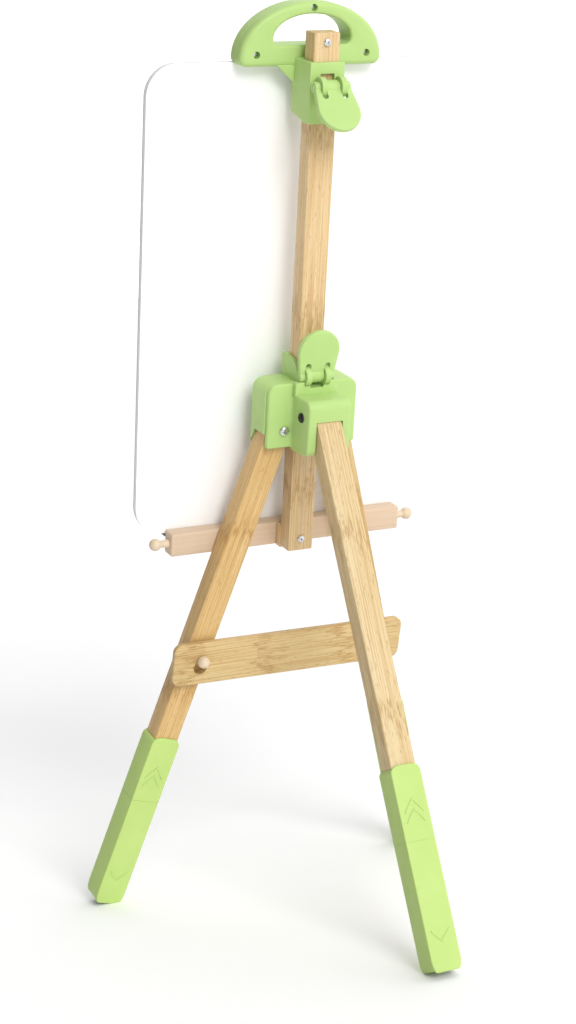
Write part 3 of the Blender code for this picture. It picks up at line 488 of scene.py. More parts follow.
def softened(mesh, offset, segments=3):
    """Round off every edge of a simple mesh that turns by more than a radian."""
    shape = bmesh.new()
    shape.from_mesh(mesh)
    rim = [edge for edge in shape.edges if edge.calc_face_angle(0) > 1.0]
    bmesh.ops.bevel(shape, geom=rim, offset=offset, segments=segments, profile=0.5,
                    affect='EDGES')
    # A bevel leaves a few uneven faces: split flat, they stay exact in a boolean.
    bmesh.ops.connect_verts_nonplanar(shape, angle_limit=0.0001, faces=shape.faces)
    return saved(shape, mesh)


def flared(outline, low, high, lip, steps=4):
    """Cutter along y that opens out in a quarter round at both ends."""
    turns = [pi / 2 * index / steps for index in range(steps + 1)]
    stations = [(low - 0.002, -lip)]
    stations += [(low + lip * (1 - cos(a)), -lip * (1 - sin(a))) for a in turns]
    stations += [(high - lip * (1 - sin(a)), -lip * (1 - cos(a))) for a in turns]
    stations.append((high + 0.002, -lip))
    return loft([[(a, y, b) for a, b in outline(inset)] for y, inset in stations])


def cross_recess(radius, depth):
    """Cutter for a screw's cross, at the origin and open towards +y."""
    arms = []
    for wide, high in ((radius, radius * 0.2), (radius * 0.2, radius)):
        shape = loft([[(x * grow, y, z * grow) for x, z in
                       ((wide, -high), (wide, high), (-wide, high), (-wide, -high))]
                      for y, grow in ((-depth, 0.45), (0.002, 1.05))])
        arms.append(shape)
    return join(*arms)


def screw_mesh(head_radius, head_height, shank_radius, shank_length, spot, facing=1):
    """Cross-head screw whose seat is at the spot; facing is 1 towards +y and -1 towards -y."""
    dome_steps = [radians(a) for a in range(0, 91, 15)]
    profile = [(-shank_length, shank_radius * 0.5), (-shank_length * 0.85, shank_radius),
               (FIT, shank_radius), (FIT, head_radius * 0.97), (FIT + 0.0004, head_radius)]
    profile += [(FIT + 0.0004 + (head_height - 0.0004) * sin(a),
                 head_radius * (0.35 + 0.65 * cos(a))) for a in dome_steps]
    mesh = turned(profile)
    recess = cross_recess(head_radius * 0.55, head_height * 0.65)
    recess.transform(move(0, FIT + head_height, 0))
    mesh = cut(mesh, recess)
    mesh.transform(move(*spot) @ turn(0.0 if facing > 0 else pi, 'Z'))
    return mesh


# ---- mast, rail and board
def ball_peg_mesh(side):
    """Turned peg in a rail's end: a waisted stem and a ball."""
    seat = (side * RAIL_HALF, (RAIL_BACK + RAIL_FRONT) / 2, (RAIL_LOW + RAIL_HIGH) / 2)
    stem = [(0.0002, PEG_STEM * 1.02), (0.0012, PEG_STEM * 1.08), (0.004, PEG_STEM * 0.98),
            (0.008, PEG_STEM * 0.86), (0.0115, PEG_STEM * 0.84)]
    ball = [(PEG_REACH + PEG_BALL * cos(radians(a)), PEG_BALL * sin(radians(a)))
            for a in range(142, 2, -7)]
    profile = [(side * reach, radius) for reach, radius in stem + ball]
    return turned(profile, seat, 'X')


def ledge_mesh():
    """Angle strip on the rail's front: a plate with a step for the board, and a flange."""
    back = RAIL_FRONT - FIT
    lip = BOARD_BACK - BOARD_THICK - 0.0003
    floor = LEDGE_TOP - LEDGE_GROOVE
    low = LEDGE_TOP - LEDGE_THICK
    nose = LEDGE_THICK / 2
    outline = [(back, low), (back, floor), (lip, floor), (lip, LEDGE_TOP)]
    outline += arc(LEDGE_FRONT + nose, LEDGE_TOP - nose, nose, 90, 270, 12)
    plate = along_x(outline, -RAIL_HALF, RAIL_HALF)
    flange = box((-FLANGE_HALF, back - FLANGE_THICK, RAIL_LOW + 0.002),
                 (FLANGE_HALF, back, low + 0.001), 0.0006, 2)
    return join(plate, flange)


def board_sheet(back, front):
    """One layer of the board, between two distances behind the mast's rear face."""
    half = BOARD_WIDTH / 2
    corner = BOARD_CORNER
    outline = rounded_rectangle(-half, half, BOARD_LOW, BOARD_HIGH, corner, corner, 24)
    return along_y(outline, front, back)


# ---- clip
def ear_outline(pin_z, root_y):
    """Hinge ear in the (y, z) plane: a disc about the lever pin with a narrower root."""
    points = [(root_y, pin_z - EAR_ROOT)]
    points += arc(PIN_Y, pin_z, EAR_RADIUS, -120, 120, 40)
    points.append((root_y, pin_z + EAR_ROOT))
    return points


def ears(pin_z, root_y):
    """The two ears that stand in a lever's slots."""
    inner = SLOT_INNER + SLIDE
    outer = SLOT_OUTER - SLIDE
    return [along_x(ear_outline(pin_z, root_y), *sorted((side * inner, side * outer)))
            for side in (1, -1)]


def pin_bore(pin_z):
    return rod(-0.03, 0.03, PIN_HOLE, (0, PIN_Y, pin_z), 'X', 10)


def mast_channel(low, high):
    """Cutter for the hole that the mast slides in."""
    half = STICK_WIDTH / 2 + SLIDE
    return box((-half, -MAST_DEPTH - SLIDE, low), (half, SLIDE, high))


def clip_rear_mesh():
    """Rear shell of the clip: crowned rim, flared grip hole, gussets, collar and ears."""
    mesh = cushioned(clip_outline, CLIP_PARTING + FIT / 2, CLIP_BACK, SHELL_RIM, CLIP_REAR_ROUND)
    gusset = [(-GUSSET_HALF, CLIP_BASE + 0.0025), (-0.0245, GUSSET_LOW),
              (-COLLAR_HALF + 0.0005, CLIP_COLLAR_LOW + 0.008),
              (COLLAR_HALF - 0.0005, CLIP_COLLAR_LOW + 0.008), (0.0245, GUSSET_LOW),
              (GUSSET_HALF, CLIP_BASE + 0.0025)]
    web = softened(along_y(gusset, CLIP_BACK - GUSSET_THICK, CLIP_BACK - 0.0002), COLLAR_ROUND)
    root = CLIP_BACK - 0.0025
    collar = [(root, CLIP_COLLAR_LOW + 0.0075), (-0.0085, CLIP_COLLAR_LOW),
              (CLIP_COLLAR_BACK, CLIP_COLLAR_LOW), (CLIP_COLLAR_BACK, CLIP_COLLAR_TOP),
              (root, CLIP_COLLAR_TOP)]
    block = softened(along_x(collar, -COLLAR_HALF, COLLAR_HALF), COLLAR_ROUND)
    mesh = join(mesh, web, block, *ears(CLIP_PIN_Z, CLIP_COLLAR_BACK - 0.001))
    window = box((-SLOT_INNER, -0.001, CLIP_PIN_Z - 0.0144),
                 (SLOT_INNER, 0.008, CLIP_PIN_Z + 0.0144))
    grip = flared(grip_outline, -0.062, CLIP_BACK, GRIP_REAR_LIP)
    seats = [rod(CLIP_BACK - SEAT_DEPTH, -0.03, HEAD_SEAT, (x, 0, z)) for _, x, z in CLIP_SCREWS]
    return cut(mesh, mast_channel(0.38, 0.48), window, pin_bore(CLIP_PIN_Z), grip, *seats)


def clip_front_mesh():
    """Front shell of the clip: crowned face, flared grip hole and the board's slot."""
    mesh = cushioned(clip_outline, CLIP_FRONT, CLIP_PARTING - FIT / 2, CLIP_FRONT_ROUND, SHELL_RIM)
    slot = box((-0.11, BOARD_BACK - BOARD_THICK - 0.0004, 0.44),
               (0.11, BOARD_BACK + 0.0004, SLOT_TOP))
    return cut(mesh, slot, flared(grip_outline, CLIP_FRONT, -0.048, GRIP_FRONT_LIP))


# ---- cam lever
def lever_mesh():
    """Cam lever about its pin: x along the pin, z out along the paddle, -y to the mast."""
    mesh = cushioned(lever_outline, PADDLE_FRONT, PADDLE_BACK, 0.0015, 0.0020)
    side_knuckle = softened(rod(-LEVER_HALF, LEVER_HALF, KNUCKLE, (0, 0, 0), 'X'), 0.0008)
    cam = softened(rod(-CAM_HALF, CAM_HALF, CAM_RADIUS, (0, -CAM_OFFSET, 0), 'X'), 0.0006)
    mesh = join(mesh, side_knuckle, cam)
    middle = (SLOT_INNER + SLOT_OUTER) / 2
    radius = (SLOT_OUTER - SLOT_INNER) / 2
    slots = []
    for side in (1, -1):
        outline = [(side * middle + radius, -0.02)]
        outline += arc(side * middle, SLOT_END - radius, radius, 0, 180, 14)
        outline.append((side * middle - radius, -0.02))
        slots.append(along_y(outline, -0.03, 0.03))
    return cut(mesh, *slots, rod(-0.03, 0.03, PIN_HOLE, axis='X', sides=16))


# ---- hub
def leg_axis_rod(side, low, high, radius, sides=ROUND):
    """Rod along a front leg's pivot, in the mast frame; low and high are leg-frame y."""
    lean = LEG_LEAN - MAST_LEAN
    shift = Vector((0, LEG_PLANE_Y * cos(MAST_LEAN), LEG_PLANE_Y * sin(MAST_LEAN)))
    centre = shift + Matrix.Rotation(-lean, 3, 'X') @ Vector((side * PIVOT_X, 0, PIVOT_Z))
    return rod(low, high, radius, centre, sides=sides, tilt=-lean)


def collar_outline():
    """Hub collar in the (y, z) plane: flat at the front, falling in a curve to the back."""
    front = HUB_FRONT + 0.0005
    points = [(front, 0.055), (HUB_SEAM - 0.0005, 0.055), (HUB_SEAM - 0.0005, HUB_TOP + 0.0005),
              (COLLAR_BACK, HUB_TOP + 0.0005), (COLLAR_BACK, COLLAR_TOP - COLLAR_FALL)]
    points += [(COLLAR_BACK - COLLAR_RUN * (1 - sin(radians(a))),
                COLLAR_TOP - COLLAR_FALL * (1 - cos(radians(a)))) for a in range(81, -1, -9)]
    points.append((front, COLLAR_TOP))
    return points


def cam_room(pin_z):
    """Room for the cam and for the knuckles to turn about a lever pin."""
    return [rod(-SLOT_INNER, SLOT_INNER, CAM_SWEEP, (0, PIN_Y, pin_z), 'X', 48),
            rod(-0.026, 0.026, KNUCKLE + 0.0006, (0, PIN_Y, pin_z), 'X')]


def ear_room(pin_z):
    """Room round the hinge ears where they stand in another piece."""
    return rod(-SLOT_OUTER, SLOT_OUTER, EAR_RADIUS + 0.0006, (0, PIN_Y, pin_z), 'X')


def hub_front_mesh():
    """Front shell of the hub: mast channel, leg pockets open below, and the collar."""
    mesh = cushioned(hub_outline, HUB_FRONT, HUB_SEAM, HUB_FRONT_ROUND, 0.0006)
    collar = softened(along_x(collar_outline(), -COLLAR_HALF, COLLAR_HALF), COLLAR_ROUND)
    mesh = join(mesh, collar)
    half = STICK_WIDTH / 2 + SLIDE
    tools = [mast_channel(-0.03, 0.12),
             box((-half, -0.001, -0.03), (half, 0.02, CHANNEL_MOUTH))]
    for side in (1, -1):
        pocket = rounded_rectangle(CHANNEL_WALL, POCKET_OUTER, -0.030, HUB_TOP - WALL,
                                   0.002, POCKET_CORNER)
        room = along_y([(side * x, z) for x, z in pocket], HUB_FRONT + WALL, 0.02)
        spot = (side * COVER_SCREW_X, 0, COVER_SCREW_Z)
        post = rod(-0.05, 0.03, STUD, spot)
        tools.append(cut(room, leg_axis_rod(side, -0.05, POST_FRONT, LEG_POST), post))
        notch = [(-0.0205, -0.0005), (-0.0325, -0.021), (0.010, -0.021), (0.010, -0.0005)]
        tools.append(along_x(notch, *sorted((side * NOTCH_INNER, side * NOTCH_OUTER))))
        tools.append(leg_axis_rod(side, -0.05, 0.0, BOLT_HOLE))
        tools.append(leg_axis_rod(side, -0.06, NUT_SEAT, NUT_RADIUS, 6))
        tools.append(rod(-0.05, HUB_FRONT + COVER_SEAT_DEPTH, COVER_SEAT, spot))
        tools.append(rod(-0.05, 0.02, CASE_BORE, spot, sides=16))
    mesh = cut(mesh, *tools, *cam_room(HUB_PIN_Z))
    mesh = join(mesh, *ears(HUB_PIN_Z, COLLAR_BACK - 0.004))
    return cut(mesh, pin_bore(HUB_PIN_Z))


def bracket_outline():
    """Side view of the rear-leg bracket, in the (y, z) plane."""
    points = [(HUB_BACK - 0.001, -0.022), (0.048, -0.020)]
    points += arc(BRACKET_BACK - BRACKET_HEEL, -0.009, BRACKET_HEEL, -60, 0, 8)
    points += arc(BRACKET_BACK - BRACKET_CORNER, BRACKET_TOP - BRACKET_CORNER, BRACKET_CORNER,
                  0, 90, 10)
    points.append((HUB_BACK - 0.001, 0.0525))
    return points


def leg_seat(gap):
    """Point a gap behind the rear leg's rear face and the leg's direction, in the mast frame."""
    fall = MAST_LEAN + REAR_TILT
    reach = LEG_DEPTH / 2 + gap
    start = Vector((REAR_PIVOT_Y + reach * cos(fall), REAR_PIVOT_Z + reach * sin(fall)))
    return start, Vector((sin(fall), -cos(fall)))


def cove_mesh(side):
    """Concave fillet between the cover's face and the bracket's cheek."""
    corner = BRACKET_HALF
    radius = COVE_RADIUS
    outline = [(corner - 0.001, HUB_BACK - 0.001), (corner + radius, HUB_BACK - 0.001)]
    outline += [(corner + radius * (1 - sin(radians(a))),
                 HUB_BACK + radius * (1 - cos(radians(a)))) for a in range(0, 91, 10)]
    outline.append((corner - 0.001, HUB_BACK + radius))
    return loft([[(side * x, y, z) for x, y in outline] for z in (-0.0175, 0.050)])


def hub_rear_mesh():
    """Rear cover of the hub with the lever's base pad and the rear leg's bracket."""
    mesh = cushioned(cover_outline, HUB_SEAM + FIT, HUB_BACK, SHELL_RIM, HUB_COVER_ROUND)
    recesses = []
    for side in (1, -1):
        recess = rounded_rectangle(0.024, 0.060, -0.016, HUB_TOP - WALL, 0.002, 0.010)
        recesses.append(along_y([(side * x, z) for x, z in recess], 0.0, HUB_BACK - WALL))
    mesh = cut(mesh, *recesses)
    pad = rounded_rectangle(-BRACKET_HALF, BRACKET_HALF, PAD_LOW, PAD_HIGH, 0.002, 0.004)
    pad = softened(along_y(pad, HUB_BACK - 0.001, PAD_BACK), 0.0014)
    posts = [leg_axis_rod(side, POST_BACK, 0.010, LEG_POST) for side in (1, -1)]
    studs = [rod(HUB_SEAM + FIT, 0.012, STUD, (side * COVER_SCREW_X, 0, COVER_SCREW_Z))
             for side in (1, -1)]
    guide = box((-GUIDE_HALF, 0.0007, GUIDE_LOW), (GUIDE_HALF, 0.009, GUIDE_TOP))
    bracket = softened(along_x(bracket_outline(), -BRACKET_HALF, BRACKET_HALF), 0.0026, 4)
    mesh = join(mesh, pad, guide, bracket, *posts, *studs, *[cove_mesh(side) for side in (1, -1)])
    start, fall = leg_seat(0.0004)
    top = start + fall * 0.001
    far = start + fall * 0.012
    mouth = [(0.050, top.y), (top.x, top.y), (far.x, far.y), (0.075, far.y),
             (0.075, -0.030), (0.050, -0.030)]
    tools = [box((-CAVITY_HALF, HUB_BACK, -0.030),
                 (CAVITY_HALF, BRACKET_BACK - BRACKET_WALL, 0.0455)),
             along_x(mouth, -CAVITY_HALF, CAVITY_HALF),
             rod(-0.04, 0.04, BOLT_HOLE, (0, REAR_PIVOT_Y, REAR_PIVOT_Z), 'X')]
    for side in (1, -1):
        left, right = sorted((side * CHEEK_INNER, side * CHEEK_OUTER))
        tools.append(box((left, 0.017, -0.030), (right, 0.058, 0.020)))
        tools.append(leg_axis_rod(side, -0.02, 0.03, BOLT_HOLE))
    return cut(mesh, *tools, *cam_room(HUB_PIN_Z), ear_room(HUB_PIN_Z))


# ---- legs and boots
def leg_mesh(low_y, high_y, round_axis):
    """Stick hung from its pivot at the origin, with a round top about that pivot."""
    half = STICK_WIDTH / 2
    if round_axis == 'Y':
        outline = [(half, -LEG_END)] + arc(0, 0, half, 0, 180, 24) + [(-half, -LEG_END)]
        mesh = along_y(outline, low_y, high_y)
        bore = rod(-0.04, 0.01, BUSH_OUTER + FIT)
    else:
        reach = (high_y - low_y) / 2
        outline = [(reach, -LEG_END)] + arc(0, 0, reach, 0, 180, 24) + [(-reach, -LEG_END)]
        mesh = along_x(outline, -half, half)
        bore = rod(-0.03, 0.03, BUSH_OUTER + FIT, axis='X')
    return cut(softened(mesh, 0.0016), bore)


def down_leg(height):
    """Distance from a front leg's pivot down to a height of the legs' plane."""
    return (PIVOT_Z - height) / cos(LEG_SPLAY)


def leg_crossing(side, height):
    """Where a front leg's centre line reaches a height, in the legs' plane."""
    return Vector((side * (PIVOT_X + down_leg(height) * sin(LEG_SPLAY)), 0, height))


def boot_outline(inset):
    """Broad face of a boot: straight sides, round tongues above and below."""
    half = STICK_WIDTH / 2 + BOOT_FIT + BOOT_WALL - inset
    top = -BOOT_TOP - inset
    low = -BOOT_BOTTOM + inset
    heel = [(half - half * 0.30 * (1 - sin(radians(a))), low + BOOT_HEEL * (1 - cos(radians(a))))
            for a in range(0, 91, 9)]
    shoulder = [(half - half * 0.55 * (1 - cos(radians(a))),
                 top - BOOT_SHOULDER * (1 - sin(radians(a)))) for a in range(0, 91, 9)]
    side = heel + shoulder
    return side + [(-x, z) for x, z in reversed(side)]


def chevron_mesh(tip, rise, face, out):
    """Raised V on a boot's broad face; the tip points up if rise is negative."""
    half = CHEVRON_HALF
    stroke = CHEVRON_STROKE if rise < 0 else -CHEVRON_STROKE
    outline = [(0, -tip), (half, -tip + rise), (half, -tip + rise - stroke), (0, -tip - stroke),
               (-half, -tip + rise - stroke), (-half, -tip + rise)]
    ends = sorted((face - out * 0.001, face + out * CHEVRON_RISE))
    return along_y(outline, *ends)


def boot_mesh(low_y, high_y, world):
    """Sleeve with a divider, a moulded line and chevrons, its lowest edge level with the floor."""
    skin = BOOT_FIT + BOOT_WALL
    half = STICK_WIDTH / 2 + BOOT_FIT
    mesh = cushioned(boot_outline, low_y - skin, high_y + skin, BOOT_RIM, BOOT_RIM, 4)
    marks = []
    for face, out in ((high_y + skin, 1), (low_y - skin, -1)):
        for tip, rise in CHEVRONS:
            marks.append(chevron_mesh(tip, rise, face, out))
    mesh = join(mesh, *marks)
    inset = skin - BOOT_GROOVE_DEPTH
    side = half + BOOT_WALL - BOOT_GROOVE_DEPTH
    band = box((-0.05, low_y - 0.02, -BOOT_LINE - BOOT_GROOVE),
               (0.05, high_y + 0.02, -BOOT_LINE + BOOT_GROOVE))
    groove = cut(band, box((-side, low_y - inset, -BOOT_LINE - 0.01),
                           (side, high_y + inset, -BOOT_LINE + 0.01)))
    upper = box((-half, low_y - BOOT_FIT, -BOOT_LINE + 0.0007), (half, high_y + BOOT_FIT, 0.0))
    lower = box((-half, low_y - BOOT_FIT, -0.8),
                (half, high_y + BOOT_FIT, -BOOT_LINE - BOOT_WALL))
    below = box((-1.0, -1.0, -0.2), (1.0, 1.0, 0.0))
    below.transform(world.inverted())
    return cut(mesh, groove, upper, lower, below)


# ---- brace
def brace_mesh():
    """Flat bar about the knob's stem, with its keyhole and the notch over the rest peg."""
    pivot = leg_crossing(1, KNOB_Z)
    half = BRACE_HEIGHT / 2
    bar = along_y(rounded_rectangle(BRACE_FAR, BRACE_NEAR, -half, half, 0.012, 0.012, 14),
                  BRACE_FACE, BRACE_FACE + BRACE_THICK)
    softened(bar, 0.0011)
    bar.transform(move(-pivot.x, 0, BRACE_MIDDLE_Z - pivot.z) @ turn(-BRACE_TILT, 'Y'))
    keyhole = arc(0, 0, KEYHOLE_NECK, 0, 180, 16)
    keyhole += arc(0, -KEYHOLE_DROP, KEYHOLE_ROUND, 180 - 64, 360 + 64, 40)
    peg = leg_crossing(-1, REST_PEG_Z) - pivot
    room = REST_PEG_RADIUS + 0.001
    slide = Vector((0.707, -0.707))
    across = Vector((0.707, 0.707))
    start = Vector((peg.x, peg.z))
    mouth = start + slide * 0.034
    notch = [(start.x + room * cos(radians(a)), start.y + room * sin(radians(a)))
             for a in range(45, 226, 15)]
    notch += [tuple(mouth - across * (room + 0.003)), tuple(mouth + across * (room + 0.006))]
    return cut(bar, along_y(keyhole, 0, 0.02), along_y(notch, 0, 0.02))


def peg_flange(stem):
    """Profile of the flange that spaces the brace off the leg, down to the peg's stem."""
    flange = BRACE_FACE - 0.0005
    rim = 0.0004
    return [(FIT, LEG_PEG_FLANGE - rim), (FIT + rim, LEG_PEG_FLANGE),
            (flange - rim, LEG_PEG_FLANGE), (flange, LEG_PEG_FLANGE - rim), (flange, stem)]


def knob_mesh():
    """Ball knob: flange that spaces the brace, stem and ball."""
    profile = peg_flange(KNOB_STEM) + [(0.0130, KNOB_STEM)]
    profile += [(KNOB_REACH + KNOB_BALL * cos(radians(a)), KNOB_BALL * sin(radians(a)))
                for a in range(153, 2, -7)]
    return turned(profile)


def rest_peg_mesh():
    """Peg that the brace rests on, with a low button that keeps it there."""
    face = BRACE_FACE + BRACE_THICK + 0.0005
    button = REST_PEG_BUTTON
    profile = peg_flange(REST_PEG_RADIUS)
    profile += [(face, REST_PEG_RADIUS), (face, button - 0.0003), (face + 0.0003, button),
                (face + 0.0012, button - 0.0001), (face + 0.0020, button - 0.0008),
                (face + 0.0025, button - 0.0020)]
    return turned(profile)


# ---- materials
class Finish:
    """A new Principled material and short ways to wire nodes into it."""

    def __init__(self, name, roughness, metallic=0.0):
        self.material = bpy.data.materials.new(name)
        self.material.use_nodes = True
        self.tree = self.material.node_tree
        self.shader = self.tree.nodes["Principled BSDF"]
        self.shader.inputs["Roughness"].default_value = roughness
        self.shader.inputs["Metallic"].default_value = metallic
        self.place = self.node("ShaderNodeTexCoord").outputs["Object"]

    def node(self, kind, **settings):
        made = self.tree.nodes.new(kind)
        for key, value in settings.items():
            setattr(made, key, value)
        return made

    def feed(self, socket, value):
        """Link a socket from another node's, or set it to a plain value."""
        if isinstance(value, bpy.types.NodeSocket):
            self.tree.links.new(value, socket)
        else:
            socket.default_value = value

    def vector(self, operation, first, second):
        made = self.node("ShaderNodeVectorMath", operation=operation)
        self.feed(made.inputs[0], first)
        self.feed(made.inputs[1], second)
        return made.outputs["Vector"]

    def maths(self, operation, first, second=0.0):
        made = self.node("ShaderNodeMath", operation=operation)
        self.feed(made.inputs[0], first)
        self.feed(made.inputs[1], second)
        return made.outputs[0]

    def noise(self, scale, detail=2.0, stretch=None, place=None):
        made = self.node("ShaderNodeTexNoise")
        where = place or self.place
        if stretch:
            where = self.vector('MULTIPLY', where, stretch)
        self.feed(made.inputs["Vector"], where)
        self.feed(made.inputs["Scale"], scale)
        self.feed(made.inputs["Detail"], detail)
        return made.outputs["Fac"]

    def spread(self, value, low, high, to_low=0.0, to_high=1.0, smooth=False):
        """Stretch low..high to to_low..to_high, held at both ends."""
        made = self.node("ShaderNodeMapRange")
        if smooth:
            made.interpolation_type = 'SMOOTHSTEP'
        for socket, number in zip(made.inputs[:5], (value, low, high, to_low, to_high)):
            self.feed(socket, number)
        return made.outputs[0]

    def mix(self, share, first, second):
        """Blend of two colours, each a socket or three plain numbers."""
        made = self.node("ShaderNodeMix", data_type='RGBA')
        self.feed(made.inputs["Factor"], share)
        colours = [socket for socket in made.inputs if socket.type == 'RGBA']
        for socket, value in zip(colours, (first, second)):
            self.feed(socket, value if isinstance(value, bpy.types.NodeSocket) else (*value, 1.0))
        return next(socket for socket in made.outputs if socket.type == 'RGBA')

    def bump(self, height, distance, strength=1.0, under=None):
        made = self.node("ShaderNodeBump")
        self.feed(made.inputs["Height"], height)
        made.inputs["Distance"].default_value = distance
        made.inputs["Strength"].default_value = strength
        if under:
            self.feed(made.inputs["Normal"], under)
        return made.outputs["Normal"]

    def done(self, colour, roughness=None, normal=None):
        """Wire the last sockets into the shader and give the material."""
        self.feed(self.shader.inputs["Base Color"], colour)
        if roughness:
            self.feed(self.shader.inputs["Roughness"], roughness)
        if normal:
            self.feed(self.shader.inputs["Normal"], normal)
        return self.material


def bamboo(name, light, deep, shift, along, node_gap):
    """Laminated bamboo: strips side by side, fibres, pores, and bands where the nodes were."""
    finish = Finish(name, 0.42)
    place = finish.place
    if along == 'X':
        axes = finish.node("ShaderNodeSeparateXYZ")
        finish.feed(axes.inputs[0], place)
        swap = finish.node("ShaderNodeCombineXYZ")
        for target, source in enumerate((2, 1, 0)):
            finish.feed(swap.inputs[target], axes.outputs[source])
        place = swap.outputs[0]
    place = finish.vector('ADD', place, shift)
    strip = finish.vector('SNAP', place, BAMBOO_STRIP)
    chance = finish.node("ShaderNodeTexWhiteNoise")
    finish.feed(chance.inputs["Vector"], strip)
    lot = chance.outputs["Value"]
    height = finish.node("ShaderNodeSeparateXYZ")
    finish.feed(height.inputs[0], place)
    own = finish.maths('ADD', height.outputs["Z"], finish.maths('MULTIPLY', lot, 0.030))
    cycle = finish.maths('PINGPONG', own, node_gap / 2)
    near = finish.spread(cycle, 0.004, 0.022, 1.0, 0.0, True)
    fibre = finish.noise(560.0, 3.0, (1.0, 1.0, 0.010), place)
    streak = finish.noise(230.0, 2.0, (1.0, 1.0, 0.012), place)
    pores = finish.noise(900.0, 1.0, (1.0, 1.0, 0.090), place)
    drift = finish.noise(9.0, 2.0, (1.0, 1.0, 0.5), place)
    tone = finish.maths('ADD', finish.maths('MULTIPLY', lot, 0.34),
                        finish.maths('MULTIPLY', finish.spread(streak, 0.35, 0.65), 0.50))
    tone = finish.maths('ADD', tone, finish.maths('MULTIPLY', finish.spread(drift, 0.3, 0.7), 0.16))
    colour = finish.mix(tone, light, deep)
    brown = tuple(part * share for part, share in zip(deep, (0.80, 0.66, 0.48)))
    colour = finish.mix(finish.spread(fibre, 0.44, 0.66, 0.0, 0.80), colour, brown)
    crowd = finish.maths('ADD', pores, finish.maths('MULTIPLY', near, 0.16))
    fleck = finish.spread(crowd, 0.63, 0.70, 0.0, 0.80, True)
    colour = finish.mix(fleck, colour, tuple(part * 0.85 for part in brown))
    colour = finish.mix(finish.maths('MULTIPLY', near, 0.16), colour, brown)
    grain = finish.bump(fibre, 0.00012, 0.55)
    normal = finish.bump(finish.maths('SUBTRACT', 1.0, fleck), 0.00016, 0.6, grain)
    return finish.done(colour, finish.spread(fibre, 0.3, 0.8, 0.38, 0.52), normal)


def pale_wood(name, light, deep, along='X'):
    """Close-grained pale hardwood with faint growth streaks."""
    finish = Finish(name, 0.5)
    squeeze = {'X': (0.018, 1.0, 1.0), 'Z': (1.0, 1.0, 0.018)}[along]
    growth = {'X': (0.035, 1.0, 1.6), 'Z': (1.0, 1.6, 0.035)}[along]
    fibre = finish.noise(900.0, 3.0, squeeze)
    rings = finish.noise(150.0, 2.0, growth)
    patch = finish.noise(14.0, 2.0)
    tone = finish.maths('ADD', finish.maths('MULTIPLY', finish.spread(rings, 0.3, 0.7), 0.6),
                        finish.maths('MULTIPLY', finish.spread(patch, 0.3, 0.7), 0.4))
    colour = finish.mix(tone, light, deep)
    brown = tuple(part * share for part, share in zip(deep, (0.84, 0.74, 0.64)))
    colour = finish.mix(finish.spread(fibre, 0.55, 0.8, 0.0, 0.35), colour, brown)
    normal = finish.bump(fibre, 0.0001, 0.5)
    return finish.done(colour, finish.spread(fibre, 0.3, 0.8, 0.44, 0.58), normal)


def moulded(name, light, deep, roughness):
    """Moulded plastic: faint flow tone, spark-etched skin and slightly rubbed sheen."""
    finish = Finish(name, roughness)
    finish.shader.inputs["Specular IOR Level"].default_value = 0.3
    flow = finish.noise(22.0, 3.0)
    colour = finish.mix(finish.spread(flow, 0.32, 0.68), light, deep)
    etched = finish.noise(2600.0, 2.0)
    sink = finish.noise(60.0, 1.0)
    skin = finish.bump(etched, 0.00004, 0.5)
    normal = finish.bump(sink, 0.00035, 0.35, skin)
    rubbed = finish.noise(45.0, 4.0)
    return finish.done(colour, finish.spread(rubbed, 0.3, 0.7, roughness - 0.05, roughness + 0.06),
                       normal)


def laminate():
    """Glossy white dry-wipe sheet, a little uneven, with faint wipe marks."""
    finish = Finish("white_laminate_finish", 0.12)
    tone = finish.noise(3.0, 2.0)
    colour = finish.mix(finish.spread(tone, 0.3, 0.7), (0.93, 0.93, 0.925), (0.90, 0.90, 0.90))
    wipe = finish.noise(38.0, 5.0, (1.0, 1.0, 0.25))
    wave = finish.noise(18.0, 1.0)
    return finish.done(colour, finish.spread(wipe, 0.35, 0.75, 0.09, 0.20),
                       finish.bump(wave, 0.0004, 0.25))


def board_edge():
    """Painted white fibreboard edge, with a fine sanded tooth."""
    finish = Finish("painted_edge_finish", 0.55)
    tooth = finish.noise(1300.0, 3.0)
    layer = finish.noise(500.0, 2.0, (1.0, 1.0, 0.2))
    colour = finish.mix(finish.spread(layer, 0.35, 0.7), (0.88, 0.88, 0.84), (0.80, 0.80, 0.76))
    return finish.done(colour, finish.spread(tooth, 0.3, 0.7, 0.48, 0.62),
                       finish.bump(tooth, 0.00008, 0.6))


def chalk_face():
    """Matt dark slate paint with chalk dust left in wiped arcs."""
    finish = Finish("chalk_face_finish", 0.8)
    smear = finish.noise(7.0, 6.0, (1.0, 1.0, 0.45))
    dust = finish.noise(220.0, 4.0)
    tooth = finish.noise(1700.0, 3.0)
    veil = finish.maths('MULTIPLY', finish.spread(smear, 0.45, 0.8, 0.0, 0.16),
                        finish.spread(dust, 0.3, 0.8, 0.3, 1.0))
    colour = finish.mix(veil, (0.030, 0.036, 0.036), (0.42, 0.44, 0.43))
    return finish.done(colour, finish.spread(veil, 0.0, 0.16, 0.74, 0.92),
                       finish.bump(tooth, 0.0001, 0.7))


def steel(name, light, deep):
    """Plated steel with fine turning lines and small stains."""
    finish = Finish(name, 0.3, 1.0)
    stain = finish.noise(420.0, 4.0)
    lines = finish.noise(3800.0, 2.0, (1.0, 0.08, 1.0))
    colour = finish.mix(finish.spread(stain, 0.4, 0.75), light, deep)
    return finish.done(colour, finish.spread(stain, 0.35, 0.75, 0.22, 0.42),
                       finish.bump(lines, 0.00004, 0.5))


